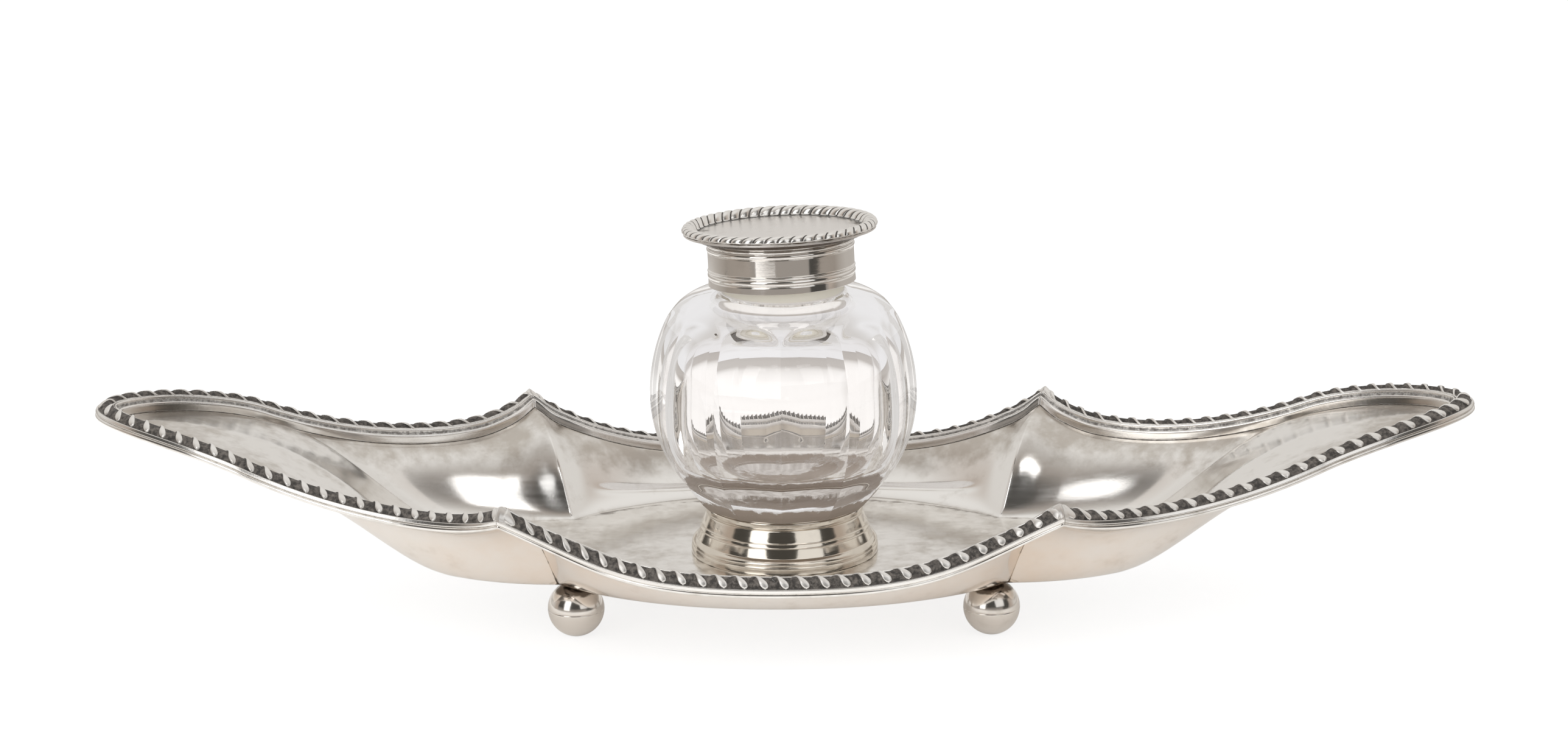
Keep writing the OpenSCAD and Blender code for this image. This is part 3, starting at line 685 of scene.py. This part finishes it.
rightRear, leftRear, leftFront, rightFront = (1, 1), (-1, 1), (-1, -1), (1, -1)  # signs that mirror a quarter


def ringStations(perStation):
    # The whole rim, anticlockwise from the right tip: the stations of the four quarters, and their signs.
    k = np.arange(0, quarter, 1 / perStation)
    back = quarter - k
    signs = np.repeat([rightRear, leftRear, leftFront, rightFront], len(k), 0)
    return np.concatenate([k, back, k, back]), signs


def placed(points, signs):
    # Quarter points mirrored to their own quarters.
    flip = np.concatenate([signs, np.ones((len(signs), 1))], 1)
    return points * flip[:, None, :]


surface = {
    "stationsPerStep": 8, "wallLevels": 40, "underLevels": 22, "floorRings": 16, "belowRings": 8,
    "wave": 0.035, "foldAt": 0.42, "foldHalf": 0.05, "foldHeight": -0.36, "foldFrom": 1.6, "foldWhole": 3.2,
}


def beaten(points):
    # Small hand-worked unevenness of the sheet: a few crossed waves a few hundredths of a millimetre high.
    x, y = points[..., 0], points[..., 1]
    a = np.sin(x / 7.1 + 1.3 * np.sin(y / 9.0)) * np.sin(y / 6.3 + np.sin(x / 11.0))
    b = np.sin(x / 3.7 - y / 4.9) * np.sin(x / 17.0 + 0.7)
    return surface["wave"] * (a + 0.35 * b)


def surfaceNormals(grid):
    # Upward unit normals of a grid whose columns close on themselves.
    along = np.roll(grid, -1, 0) - np.roll(grid, 1, 0)
    across = np.gradient(grid, axis=1)
    n = np.cross(along, across)
    n /= np.linalg.norm(n, axis=-1, keepdims=True)
    return n * np.where(n[..., 2:] > 0, 1, -1)


def makeTray():
    # Sheet tray: rings out from the middle of the floor, up the wall, round the flange's edge and back below.
    k, signs = ringStations(surface["stationsPerStep"])
    even = np.linspace(0, 1, surface["wallLevels"])
    u = mixed(even, smooth(even), 0.35)
    u = np.unique(np.append(u, surface["foldAt"] + surface["foldHalf"] * np.linspace(-2.4, 2.4, 15)))
    wall = placed(wallGrid(k, u), signs)
    lift = beaten(wall) * smooth(np.minimum(u, 1 - u) / 0.12)[None, :]
    fold = surface["foldHeight"] * np.exp(-(((u - surface["foldAt"]) / surface["foldHalf"]) ** 2))
    folded = step(k, wingSteps + surface["foldFrom"], wingSteps + surface["foldWhole"])
    lift = lift + fold[None, :] * folded[:, None]
    wall = wall + surfaceNormals(wall) * lift[..., None]
    shares = np.linspace(0, 1, surface["floorRings"], endpoint=False)[1:]
    edge = wall[:, 0]
    middle, middleBelow = np.array([0, 0, floorZ]), np.array([0, 0, trayZ])
    floor = middle + (edge - middle)[:, None] * shares[None, :, None]
    floor[..., 2] += 0.4 * beaten(floor) * smooth((1 - shares) / 0.2)[None, :]
    sheet, low, wide = tray["sheet"], -border["height"], border["width"]
    half = np.radians([90, 60, 30, 0, -30, -60, -90])
    edgeD = 0.03 * wide + sheet / 2 * (1 - np.cos(half))
    edgeH = low - sheet / 2 + sheet / 2 * np.sin(half)
    flangeD = np.concatenate([
        wide * np.array([0.8, 0.5, 0.25]), edgeD, wide * np.array([0.3, 0.6]), [wide - 0.4 * sheet]])
    flangeH = np.concatenate([[low] * 3, edgeH, [low - sheet] * 3])
    flange = placed(atRim(k, flangeD, flangeH), signs)
    v = np.linspace(1, 0, surface["underLevels"] + 1)[1:]
    under = placed(wallGrid(k, v), signs)
    under = under - surfaceNormals(under) * sheet
    under[:, -1] = edge - [0, 0, sheet]
    belowShares = np.linspace(1, 0, surface["belowRings"])[1:-1]
    below = middleBelow + (under[:, -1] - middleBelow)[:, None] * belowShares[None, :, None]
    pole, poleBelow = (np.repeat(point[None, None], len(k), 0) for point in (middle, middleBelow))
    grid = np.concatenate([pole, floor, wall, flange, under, below, poleBelow], 1).transpose(1, 0, 2)
    wallRow = 1 + len(shares)
    flangeRow = wallRow + len(u)
    underRow = flangeRow + len(flangeD)
    rows = {label: np.zeros(len(grid)) for label in ("underRim", "corner", "warm")}
    rows["underRim"][:wallRow] = 0.42
    rows["underRim"][wallRow:flangeRow] = step(u, 0.45, 1.0) + 0.5 * (1 - step(u, 0.0, 0.2))
    rows["underRim"][flangeRow:underRow] = 0.3
    # Corner rows: darker where the floor meets the wall and just under the border, and on the outside darker
    # along each crease
    rows["corner"][wallRow - 1:wallRow + 2] = [0.4, 1.0, 0.7]
    rows["corner"][flangeRow - 2:flangeRow] = [0.3, 0.7]
    rows["warm"][underRow:] = 1.0
    fromCrease = k - wingSteps
    fade = {
        "underRim": np.ones(len(k)),
        "corner": 1 - step(np.maximum(1 - k / wingSteps, 0), 0.12, 0.35),
        "warm": 0.35 + 0.65 * np.exp(-((fromCrease / 6) ** 2)),
    }
    creaseDarkening = rows["warm"][1:-1, None] * 0.95 * np.exp(-((fromCrease / 0.45) ** 2))
    values = {}
    for label, row in rows.items():
        inner = row[1:-1, None] * fade[label][None, :]
        inner = np.maximum(inner, creaseDarkening) if label == "corner" else inner
        values[label] = np.concatenate([inner.ravel(), row[:1], row[-1:]])
    makePiece("tray_sheet", *poleMesh(grid), "stand", "silver_plate", trayPlate, ["tray_body"], values)


makeTray()

# Gadroon border of the tray

gadroon = {
    "pitch": 3.75, "depth": 0.38, "slant": 2.8, "headHalf": 0.82, "tailHalf": 0.32, "plainEnd": 2.6,
    "outerKey": 4, "innerKey": 13, "perKey": 3, "fineSteps": 1500,
}
# Section of the border from its outer foot over the gadroons, the bead and the fillet to its inner foot
borderKeys = [
    (0.03, -1.0), (0.0, -0.96), (0.0, -0.82), (0.005, -0.76), (0.03, -0.72), (0.045, -0.66), (0.07, -0.50),
    (0.13, -0.31), (0.21, -0.16), (0.30, -0.05), (0.38, 0.0), (0.47, -0.035), (0.545, -0.13), (0.59, -0.25),
    (0.605, -0.32), (0.622, -0.24), (0.66, -0.19), (0.695, -0.215), (0.72, -0.30), (0.735, -0.42),
    (0.76, -0.50), (0.80, -0.52), (0.83, -0.45), (0.87, -0.41), (0.92, -0.45), (0.95, -0.58), (0.975, -0.80),
    (1.0, -1.0),
]
# Places across one pitch, close together where the edges of a rib fall
ribPhases = np.array([-0.5, -0.38, -0.28, -0.22, -0.19, -0.16, -0.13, -0.10, -0.075, -0.05, -0.02])
ribPhases = np.concatenate([ribPhases, -ribPhases[:0:-1]])


def ribShape(phase, w, pitch, look):
    # Depth of the cut, from 0 on a rib's crest to 1 in a flute, and how dark the oxide is there, less a
    # painted highlight along each flute. Across the band (w) a rib is a round-backed drop with its head at
    # the outer edge and a thin tail.
    away = np.abs(phase) * pitch
    head = np.sqrt(np.clip(1 - ((0.26 - w) / 0.22).clip(0, 1) ** 2, 0, 1))
    half = mixed(look["headHalf"], look["tailHalf"], smooth((w - 0.25) / 0.5)) * head + 1e-3
    back = 1 - np.sqrt(np.clip(1 - (away / half) ** 2, 0, 1))
    band = step(w, -0.02, 0.04) * (1 - step(w, 0.93, 1.0))
    # A lighter line along each flute: painted highlight
    paintedFluteGleam = np.exp(-((np.abs(away - 0.36 * pitch) / 0.12) ** 2)) * step(w, 0.15, 0.5)
    dark = step(away, half * 0.75, half * 0.95 + 0.06) * band
    return (0.45 * back + 0.55 * step(away, half * 0.9, half + 0.15)) * band, dark * (1 - 0.25 * paintedFluteGleam)


def sectionNormals(section):
    # Unit vectors to the left of a profile's way, at each of its points.
    edges = np.gradient(section, axis=0)
    return np.stack([-edges[:, 1], edges[:, 0]], -1) / np.linalg.norm(edges, axis=1)[:, None]


def lengthAlong(points):
    # Distance of each point from the first, measured along the line.
    return np.concatenate([[0], np.cumsum(np.linalg.norm(np.diff(points, axis=0), axis=1))])


def makeBorder(name, node, runs):
    # One length of the moulding between two cusps, its section carried along the rim. Its cross lines lean as
    # the ribs do: at the share w of the way in across the band they are slant * w ** 1.7 further back.
    fine, wide, high = gadroon["fineSteps"], border["width"], border["height"]
    ends = [number == len(runs) - 1 for number in range(len(runs))]
    kFine = np.concatenate([np.linspace(a, b, fine, endpoint=end) for (a, b, _), end in zip(runs, ends)])
    signs = np.concatenate([np.repeat([s], fine, 0) for _, _, s in runs])
    run = lengthAlong(placed(atRim(kFine, [0.3 * wide], [0.0]), signs)[:, 0])
    count = max(1, round(run[-1] / gadroon["pitch"]))
    pitch = run[-1] / count
    at = ((np.arange(count) + 0.5)[:, None] + ribPhases[None, :]).ravel() * pitch
    at = np.append(at, run[-1])
    phase = np.append(np.tile(ribPhases, count), -0.5)
    section = softLine(borderKeys, gadroon["perKey"]) * [wide, high]
    arc = lengthAlong(section)
    outerArc, innerArc = (arc[gadroon[a] * gadroon["perKey"]] for a in ("outerKey", "innerKey"))
    w = (arc - outerArc) / (innerArc - outerArc)
    fromEnds = step(at, 0.2, gadroon["plainEnd"]) * step(run[-1] - at, 0.2, gadroon["plainEnd"])
    hollow, dark = (a * fromEnds[:, None] for a in ribShape(phase[:, None], w[None, :], pitch, gadroon))
    normal = sectionNormals(section)
    cut = gadroon["depth"] * hollow
    d = section[None, :, 0] - normal[None, :, 0] * cut
    h = section[None, :, 1] - normal[None, :, 1] * cut
    lean = gadroon["slant"] * (np.clip(w, 0, 1) ** 1.7 - 0.35) * (1 - step(w, 1.1, 2.4))
    leanHere = fromEnds[:, None] * np.where(w > -0.02, lean, lean[0] * step(w, -1.2, -0.1))[None, :]
    # Two more points close the section underneath
    d = np.concatenate([d, np.repeat([[0.7 * wide, 0.35 * wide]], len(at), 0)], 1)
    h = np.concatenate([h, np.full((len(at), 2), -high)], 1)
    where = at[:, None] - np.concatenate([leanHere, np.zeros((len(at), 2))], 1)
    index = np.interp(where.ravel(), run, np.arange(len(run)))
    k = np.interp(index, np.arange(len(run)), kFine)
    sign = signs[np.clip(np.round(index).astype(int), 0, len(signs) - 1)]
    points = placed(atRim(k, d.reshape(-1, 1), h.reshape(-1, 1)), sign)[:, 0]
    rows, columns = d.shape
    fan = np.arange(1, columns - 1)
    last = (rows - 1) * columns
    start = np.stack([np.zeros_like(fan), fan, fan + 1], -1)
    end = np.stack([np.full_like(fan, last), last + fan + 1, last + fan], -1)
    faces = closedFaces(points, gridFaces(rows, columns), np.vstack([start, end]))
    across, up = section[:, 0] / wide, section[:, 1] / high
    groove = 0.6 * step(across, 0.70, 0.735) * (1 - step(across, 0.80, 0.84))
    valley = 0.8 * np.exp(-(((across - 0.605) / 0.015) ** 2))
    # Dark along the moulding's inner foot and lower edges: a seam where it meets the sheet, and painted
    # shadow under it
    seamAndShadow = 0.5 * step(across, 0.98, 1.0) + 0.25 * (1 - step(up, -0.99, -0.95))
    shown = np.clip(dark + groove + valley + seamAndShadow, 0, 1)
    shown = np.concatenate([shown, np.ones((rows, 2))], 1)
    rib = np.append(step(w, -0.1, 0.05) * (1 - step(w, 0.95, 1.05)), [0, 0])
    makePiece(name, points, faces, "stand", "border_plate", castPlate, [node],
              {"hollow": shown, "rib": np.tile(rib, rows)})


pastCusp = wingSteps + 1e-6  # just on the side, where the moulding isn't rolled
borderRuns = {
    "rear": [(pastCusp, quarter, rightRear), (quarter, pastCusp, leftRear)],
    "left": [(wingSteps, 0, leftRear), (0, wingSteps, leftFront)],
    "front": [(pastCusp, quarter, leftFront), (quarter, pastCusp, rightFront)],
    "right": [(wingSteps, 0, rightFront), (0, wingSteps, rightRear)],
}
for place, runs in borderRuns.items():
    makeBorder("gadroon_border_" + place, "border_" + place, runs)


def makeFeet():
    # Hollow balls in two turned halves, with a closed seam at the middle, cut flat where they stand and join.
    r = ball["diameter"] / 2
    middle, inner = r - ball["worn"], r - ball["wall"]
    for half, side, end in (("lower", -1, -middle), ("upper", 1, trayZ - middle)):
        stop = math.degrees(math.asin(end / r))
        rise = np.radians(np.linspace(stop, side * 0.1, 30))
        outside = np.stack([r * np.cos(rise), r * np.sin(rise)], -1)
        lip = [[r - 0.006, side * 0.004], [inner, side * 0.004]]
        back = np.radians(np.linspace(side * 2, side * 88, 16))
        inside = np.stack([inner * np.cos(back), inner * np.sin(back)], -1)
        foot = [[0, end], [outside[0, 0] * 0.5, end]]
        profile = np.vstack([foot, outside, lip, inside, [[0, side * inner]]])
        grid = turned(profile + [0, middle], ball["columns"])
        for x, y in (leftFront, rightFront, leftRear, rightRear):
            corner = "foot_%s_%s_%s" % ("front" if y < 0 else "rear", "left" if x < 0 else "right", half)
            points, faces = poleMesh(grid + [x * (creaseX - ball["inX"]), y * (creaseY - ball["inY"]), 0])
            # Painted shade over the upper part of each ball, standing for the tray's shadow and its dark
            # underside reflected there
            paintedShadeAndGrime = 1.5 * step(points[:, 2], middle + 0.45 * r, middle + 0.8 * r)
            makePiece("ball_" + corner, points, faces, "stand", "silver_plate", ballPlate, [corner],
                      {"corner": paintedShadeAndGrime})


makeFeet()

# Socket, spun from sheet

socket = {"foot": 35.6, "mouth": 27.5, "height": 9.65, "wall": 0.8, "columns": 180}
socketKeys = [  # share from the mouth to the foot, and share of the height
    (0.96, 0.0), (0.98, 0.012), (0.985, 0.05), (0.98, 0.11), (0.955, 0.15), (0.935, 0.163), (0.95, 0.178),
    (0.945, 0.20), (0.93, 0.222), (0.88, 0.25), (0.79, 0.278), (0.725, 0.295), (0.705, 0.305), (0.685, 0.325),
    (0.64, 0.375), (0.558, 0.478), (0.560, 0.490), (0.532, 0.506), (0.485, 0.562), (0.487, 0.574),
    (0.458, 0.592), (0.39, 0.665), (0.32, 0.735), (0.268, 0.788), (0.245, 0.806), (0.275, 0.826),
    (0.305, 0.86), (0.30, 0.91), (0.285, 0.95), (0.245, 0.962), (0.25, 0.978), (0.20, 0.996), (0.10, 1.0),
    (0.0, 0.99),
]
socketLining = [
    (0.0, 0.87), (0.22, 0.80), (0.25, 0.745), (0.40, 0.66), (0.53, 0.56), (0.61, 0.44), (0.72, 0.36),
    (0.82, 0.25), (0.88, 0.15), (0.90, 0.0),
]


def makeSocket():
    # Spun socket: its moulded section turned round the upright axis.
    mouth, foot, high = socket["mouth"] / 2, socket["foot"] / 2, socket["height"]
    keys, lining = np.array(socketKeys), np.array(socketLining)
    outer = softLine(np.stack([mixed(mouth, foot, keys[:, 0]), keys[:, 1] * high], -1), 3)
    bore = mixed(mouth, foot, lining[:, 0]) - socket["wall"] * step(lining[:, 0], 0.0, 0.2)
    inner = np.stack([bore, lining[:, 1] * high], -1)
    points, faces = ringMesh(turned(np.vstack([outer, inner]) + [0, floorZ], socket["columns"]))
    # Painted shadow: dark at the top under the glass's overhang, along the foot where it stands on the tray,
    # and over the whole hidden inside
    paintedGlassShadow = 1.7 * (outer[:, 0] < mouth + 0.5) * step(outer[:, 1], high - 0.12, high - 0.03)
    paintedShadeAndGrime = np.concatenate([np.exp(-((outer[:, 1] / 0.18) ** 2)) + paintedGlassShadow, 1.7 * np.ones(len(inner))])
    makePiece("spun_socket", points, faces, "stand", "fittings_plate", socketPlate, ["well_socket"],
              {"corner": np.repeat(paintedShadeAndGrime, socket["columns"])})


makeSocket()

# Glass well

well = {
    "diameter": 50.4, "panels": 12, "columnsPerPanel": 40, "bellyUp": 21.0, "shoulderUp": 40.7,
    "bevelHeight": 6.0, "bevelDiameter": 41.9, "bevelStep": 0.3, "seat": 31.8, "spigotGap": 0.35,
    "spigotUp": 0.5, "panelDraw": 6.2, "crownStart": 4.0, "crownFillet": 1.9, "crownGlass": 3.6,
    "chamber": 40.6, "chamberRound": 0.65, "base": 5.0, "neck": 23.2, "bore": 17.0, "neckHeight": 6.8,
}
seatZ = floorZ + socket["height"]


def arcMiddle(top, end, away):
    # Centre of the arc that is upright at radius top and reaches radius end at that distance away.
    return (top * top - end * end - away * away) / (2 * (top - end))


def softMin(a, b, width):
    # The lesser of a and b, with the corner between them rounded over that width.
    blend = np.clip(0.5 + 0.5 * (b - a) / width, 0, 1)
    return mixed(b, a, blend) - width * blend * (1 - blend)


def makeWell():
    # Cut glass: twelve upright panels drawn to arcs, run out into a round crown, over a cut bevel and a
    # spigot; inside, a rounded oblong chamber under the bore of the neck.
    belly, bevel = well["diameter"] / 2, well["bevelDiameter"] / 2
    bellyUp, shoulder, bevelUp = well["bellyUp"], well["shoulderUp"], well["bevelHeight"]
    lowMiddle = arcMiddle(belly, bevel, bellyUp - bevelUp)
    highMiddle = arcMiddle(belly, belly - well["panelDraw"], shoulder - bellyUp)
    columns = well["panels"] * well["columnsPerPanel"]
    angle = np.linspace(0, 2 * np.pi, columns, endpoint=False)
    turn = np.pi / well["panels"]
    flat = np.cos(turn) / np.cos(np.mod(angle, 2 * turn) - turn)
    z = np.concatenate([np.linspace(bevelUp, bellyUp, 26)[:-1], np.linspace(bellyUp, shoulder - 0.02, 58)])
    centre = np.where(z < bellyUp, lowMiddle, highMiddle)
    arc = centre + np.sqrt(np.maximum((belly - centre) ** 2 - (bellyUp - z) ** 2, 0))
    panel = arc[:, None] * flat[None, :]
    flatTop = well["neck"] / 2 + well["crownFillet"]
    spring = bellyUp + well["crownStart"]
    rise = np.clip((z - spring) / (shoulder - spring), 0, 1)
    crown = np.where(z > spring, flatTop + (belly - flatTop) * np.sqrt(1 - rise**2), belly + 1)
    side = softMin(panel, np.broadcast_to(crown[:, None], panel.shape), 0.25)
    bevelKeys = np.array([
        (well["seat"] / 2, 0.0), (mixed(well["seat"], well["bevelDiameter"], 0.3) / 2, 0.24 * bevelUp),
        (bevel - well["bevelStep"], bevelUp - well["bevelStep"])])
    fine, span = np.linspace(0, 1, 5), [0, 1]
    bevelR, bevelZ = (
        np.append(np.interp(fine, span, key[:2]), np.interp(fine[1:], span, key[1:])) for key in bevelKeys.T)
    spigot = socket["mouth"] / 2 - well["spigotGap"]
    spigotEnd = well["spigotUp"] - socket["height"]
    spigotKeys = np.array([
        (0, spigotEnd), (0.5 * spigot, spigotEnd), (spigot - 0.4, spigotEnd),
        (spigot - 0.12, spigotEnd + 0.1), (spigot, spigotEnd + 0.4), (spigot, 0.5 * spigotEnd),
        (spigot, -0.05)])
    neckR, bore = well["neck"] / 2, well["bore"] / 2
    top = shoulder + well["neckHeight"]
    neckKeys = [
        (flatTop - 0.1, shoulder), (neckR + 0.6, shoulder + 0.1), (neckR + 0.15, shoulder + 0.35),
        (neckR, shoulder + 0.9), (neckR, top - 0.5), (neckR - 0.15, top - 0.12), (neckR - 0.5, top),
        (bore + 0.5, top), (bore + 0.15, top - 0.12), (bore, top - 0.5)]
    half = (shoulder - well["base"] - well["crownGlass"]) / 2
    level = well["base"] + half
    swell = np.radians(np.linspace(-90, 90, 61)[::-1])
    power = well["chamberRound"]
    chamberR = well["chamber"] / 2 * np.abs(np.cos(swell)) ** power
    chamberZ = level + half * np.sign(np.sin(swell)) * np.abs(np.sin(swell)) ** power
    chamber = np.stack([chamberR, chamberZ], -1)
    upper = chamber[(chamberR > bore + 0.05) & (chamberZ > level)]
    lower = chamber[chamberZ <= level]
    lower[-1, 0] = 0
    boreEnd = [(bore, upper[0, 1] + 0.6), (bore + 0.1, upper[0, 1] + 0.15)]
    inside = np.vstack([neckKeys, boreEnd, upper, lower])
    around = np.ones(columns)
    radius = np.vstack([spigotKeys[:, :1] * around, bevelR[:, None] * flat, side, inside[:, :1] * around])
    height = np.concatenate([spigotKeys[:, 1], bevelZ, z, inside[:, 1]])[:, None] + seatZ
    points, faces = poleMesh(aroundAxis(radius, height))
    far, up = np.hypot(points[:, 0], points[:, 1]), points[:, 2] - seatZ
    inkFloor = well["base"] + seatZ
    low = 1 - step(points[:, 2] - inkFloor, 1.8, 4.6)
    facing = 0.5 + (0.25 * points[:, 0] - 0.4 * points[:, 1]) / np.maximum(far, 1e-6)
    ring = step(far, 2.0, 6.0) * (1 - step(far, 12.0, 16.5))
    ink = 1.35 * low * ring * (points[:, 2] > inkFloor - 0.01) * mixed(0.35, 1.0, facing)
    onNeck = (np.abs(far - neckR) < 0.2) * step(up - shoulder, 0.3, 0.6)
    # The ground foot is matt, and painted brown with the ink as a painted reflection of the metal seat seen
    # through it
    groundAndPaintedSeat = (1 - step(up, 1.4, 4.4)) * (points[:, 2] > seatZ - 0.06)
    hidden = points[:, 2] <= seatZ - 0.06
    cement = np.maximum(onNeck, 0.6 * hidden)
    makePiece("cut_glass_well", points, faces, "well", "well_glass", crystal, ["glass_well"],
              {"ink": np.maximum(ink, groundAndPaintedSeat * 1.5), "cement": cement, "seat": hidden}, sharp=20)


makeWell()

# Collar and lid lean together

collar = {
    "diameter": 27.5, "height": 8.7, "wall": 0.85, "mouth": 22.6, "up": 1.95, "flare": 0.12, "lip": 0.8,
    "reeds": ((2.0, 0.95), (2.86, 0.4), (6.95, 0.75), (7.85, 0.6)),  # height and width of each
    "leanSide": 2.2, "leanBack": 3.8, "columns": 180,
}
lid = {
    "diameter": 36.8, "sheet": 0.6, "step": 1.0, "fieldUp": 0.6, "columns": 160,
    "borderWidth": 2.9, "borderHeight": 1.3, "ribs": 50, "columnsPerRib": 16, "ribDepth": 0.40,
}
collarZ = seatZ + well["shoulderUp"] + collar["up"]


def leaning(points):
    # Points of the collar or lid, tilted back and to the left about the middle of the collar's foot.
    turnX = np.array(Matrix.Rotation(math.radians(-collar["leanBack"]), 3, "X"))
    turnY = np.array(Matrix.Rotation(math.radians(-collar["leanSide"]), 3, "Y"))
    return points @ (turnY @ turnX).T + [0, 0, collarZ]


def makeCollar():
    # Spun collar with a pair of reeds near each end and a plain band at the foot, turned in at the top.
    # Each reed is a low arc between two fine grooves.
    r, up = collar["diameter"] / 2, collar["height"]
    outer = [(r + 0.02, 0.0), (r + collar["flare"], 0.08), (r + 0.05, 1.15)]
    arc = np.radians(np.linspace(-80, 80, 9))
    for z, width in collar["reeds"]:
        low, high = z - 0.5 * width, z + 0.5 * width
        outer += [(r, low - 0.24), (r - 0.10, low - 0.14)]
        outer += [(r - 0.04 + 0.2 * math.cos(a), z + 0.5 * width * math.sin(a)) for a in arc]
        outer += [(r - 0.10, high + 0.10), (r, high + 0.20)]
    mouth, inner, lip = collar["mouth"] / 2, r - collar["wall"], up - collar["lip"]
    outer += [(r, up - 0.15), (r - 0.05, up - 0.04), (r - 0.15, up)]
    outer += [(mouth, up), (mouth, lip), (inner, lip), (inner, 0.5 * up), (inner, 0.0)]
    outer = crisp(np.array(outer))
    # Painted shadow round the top of the collar, under the lid's rim
    paintedShadeAndGrime = 1.8 * step(outer[:, 1], up - 0.34, up - 0.12)
    points, faces = ringMesh(leaning(turned(outer, collar["columns"])))
    makePiece("reeded_collar", points, faces, "well", "fittings_plate", spunPlate, ["neck_collar"],
              {"corner": np.repeat(paintedShadeAndGrime, collar["columns"])}, sharp=50)


def makeLid():
    # Flat field with a step up to the rim, and over the rim a rope of leaning ribs.
    r, t, rise, w, h = lid["diameter"] / 2, lid["sheet"], lid["step"], lid["borderWidth"], lid["borderHeight"]
    field, rim, base = r - w, r - 0.3, rise + t
    run, top = 0.4 * t, t + lid["fieldUp"]
    profile = crisp(np.array([
        (0, 0), (field - 0.2, 0), (field, 0.04), (field + rise, rise), (rim - 0.1, rise), (rim, rise + 0.1),
        (rim, base - 0.1), (rim - 0.1, base), (field + rise - run, base), (field + 0.3 * rise, top + 0.06),
        (field - run, top), (0.6 * field, top - 0.03), (0.3 * field, top - 0.02), (0, top)]))
    points, faces = poleMesh(leaning(turned(profile, lid["columns"]) + [0, 0, collar["height"]]))
    # Painted shade under the lid's step over the collar, and on the field next to the border's foot
    lower = np.arange(len(profile)) < 3 * 4 + 1  # the first four spans, of three points each
    under = 1.9 * lower * step(profile[:, 0], field - 0.6, field - 0.1)
    under += step(profile[:, 1], top - 0.05, top) * step(profile[:, 0], field - 1.5, field)
    corner = np.concatenate([np.repeat(under[1:-1], lid["columns"]), [0, 0]])
    makePiece("lid_disc", points, faces, "lid", "fittings_plate", lidPlate, ["lid_plate"], {"corner": corner},
              sharp=30)
    section = softLine([
        (rim, base), (r - 0.02, base + 0.1 * h), (r, base + 0.3 * h), (r - 0.06 * w, base + 0.62 * h),
        (r - 0.18 * w, base + 0.86 * h), (r - 0.33 * w, base + 0.98 * h), (r - 0.48 * w, base + h),
        (r - 0.64 * w, base + 0.88 * h), (r - 0.78 * w, base + 0.58 * h), (r - 0.88 * w, base + 0.2 * h),
        (r - 0.95 * w, base - 0.2 * rise), (field - run, top + 0.02)], 4)
    columns = lid["ribs"] * lid["columnsPerRib"]
    angle = np.linspace(0, 2 * np.pi, columns, endpoint=False)
    share = np.linspace(0, 1, len(section))[:, None]
    across = (r - section[:, :1]) / w
    phase = angle[None, :] / (2 * np.pi) * lid["ribs"] - 1.25 * across
    away = np.abs(phase - np.round(phase))
    band = step(share, 0.06, 0.16) * (1 - step(share, 0.84, 0.96))
    cut = lid["ribDepth"] * (1 - np.sqrt(1 - 0.94 * (2 * away) ** 2)) * band
    # Dark in the flutes between the ribs, as the casting's blackening, and painted shade along the border's
    # inner foot beside the field
    hollow = step(away, 0.34, 0.46) * band + 0.6 * step(share, 0.84, 0.95)
    inwards = sectionNormals(section)
    grid = aroundAxis(section[:, :1] + inwards[:, :1] * cut, section[:, 1:] + inwards[:, 1:] * cut)
    grid = np.concatenate([grid, turned(np.array([(field + rise - run, base)]), columns)], 0)
    hollow = np.concatenate([hollow, np.ones((1, columns))], 0)
    points, faces = ringMesh(leaning(grid + [0, 0, collar["height"]]))
    makePiece("lid_gadroon_border", points, faces, "lid", "border_plate", lidCastPlate, ["lid_border"],
              {"hollow": hollow})


makeCollar()
makeLid()

# Small solids that stay as they are take their finish here
kept = {
    "collar_plaster": plaster, "collar_hinge": spunPlate, "hinge_pin": ballPlate,
    "lid_bezel": spunPlate, "lid_knuckle": spunPlate,
}
for nodeName, finish in kept.items():
    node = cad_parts[nodeName]
    node.data.materials.clear()
    node.data.materials.append(finish)
print("kept solids finished")
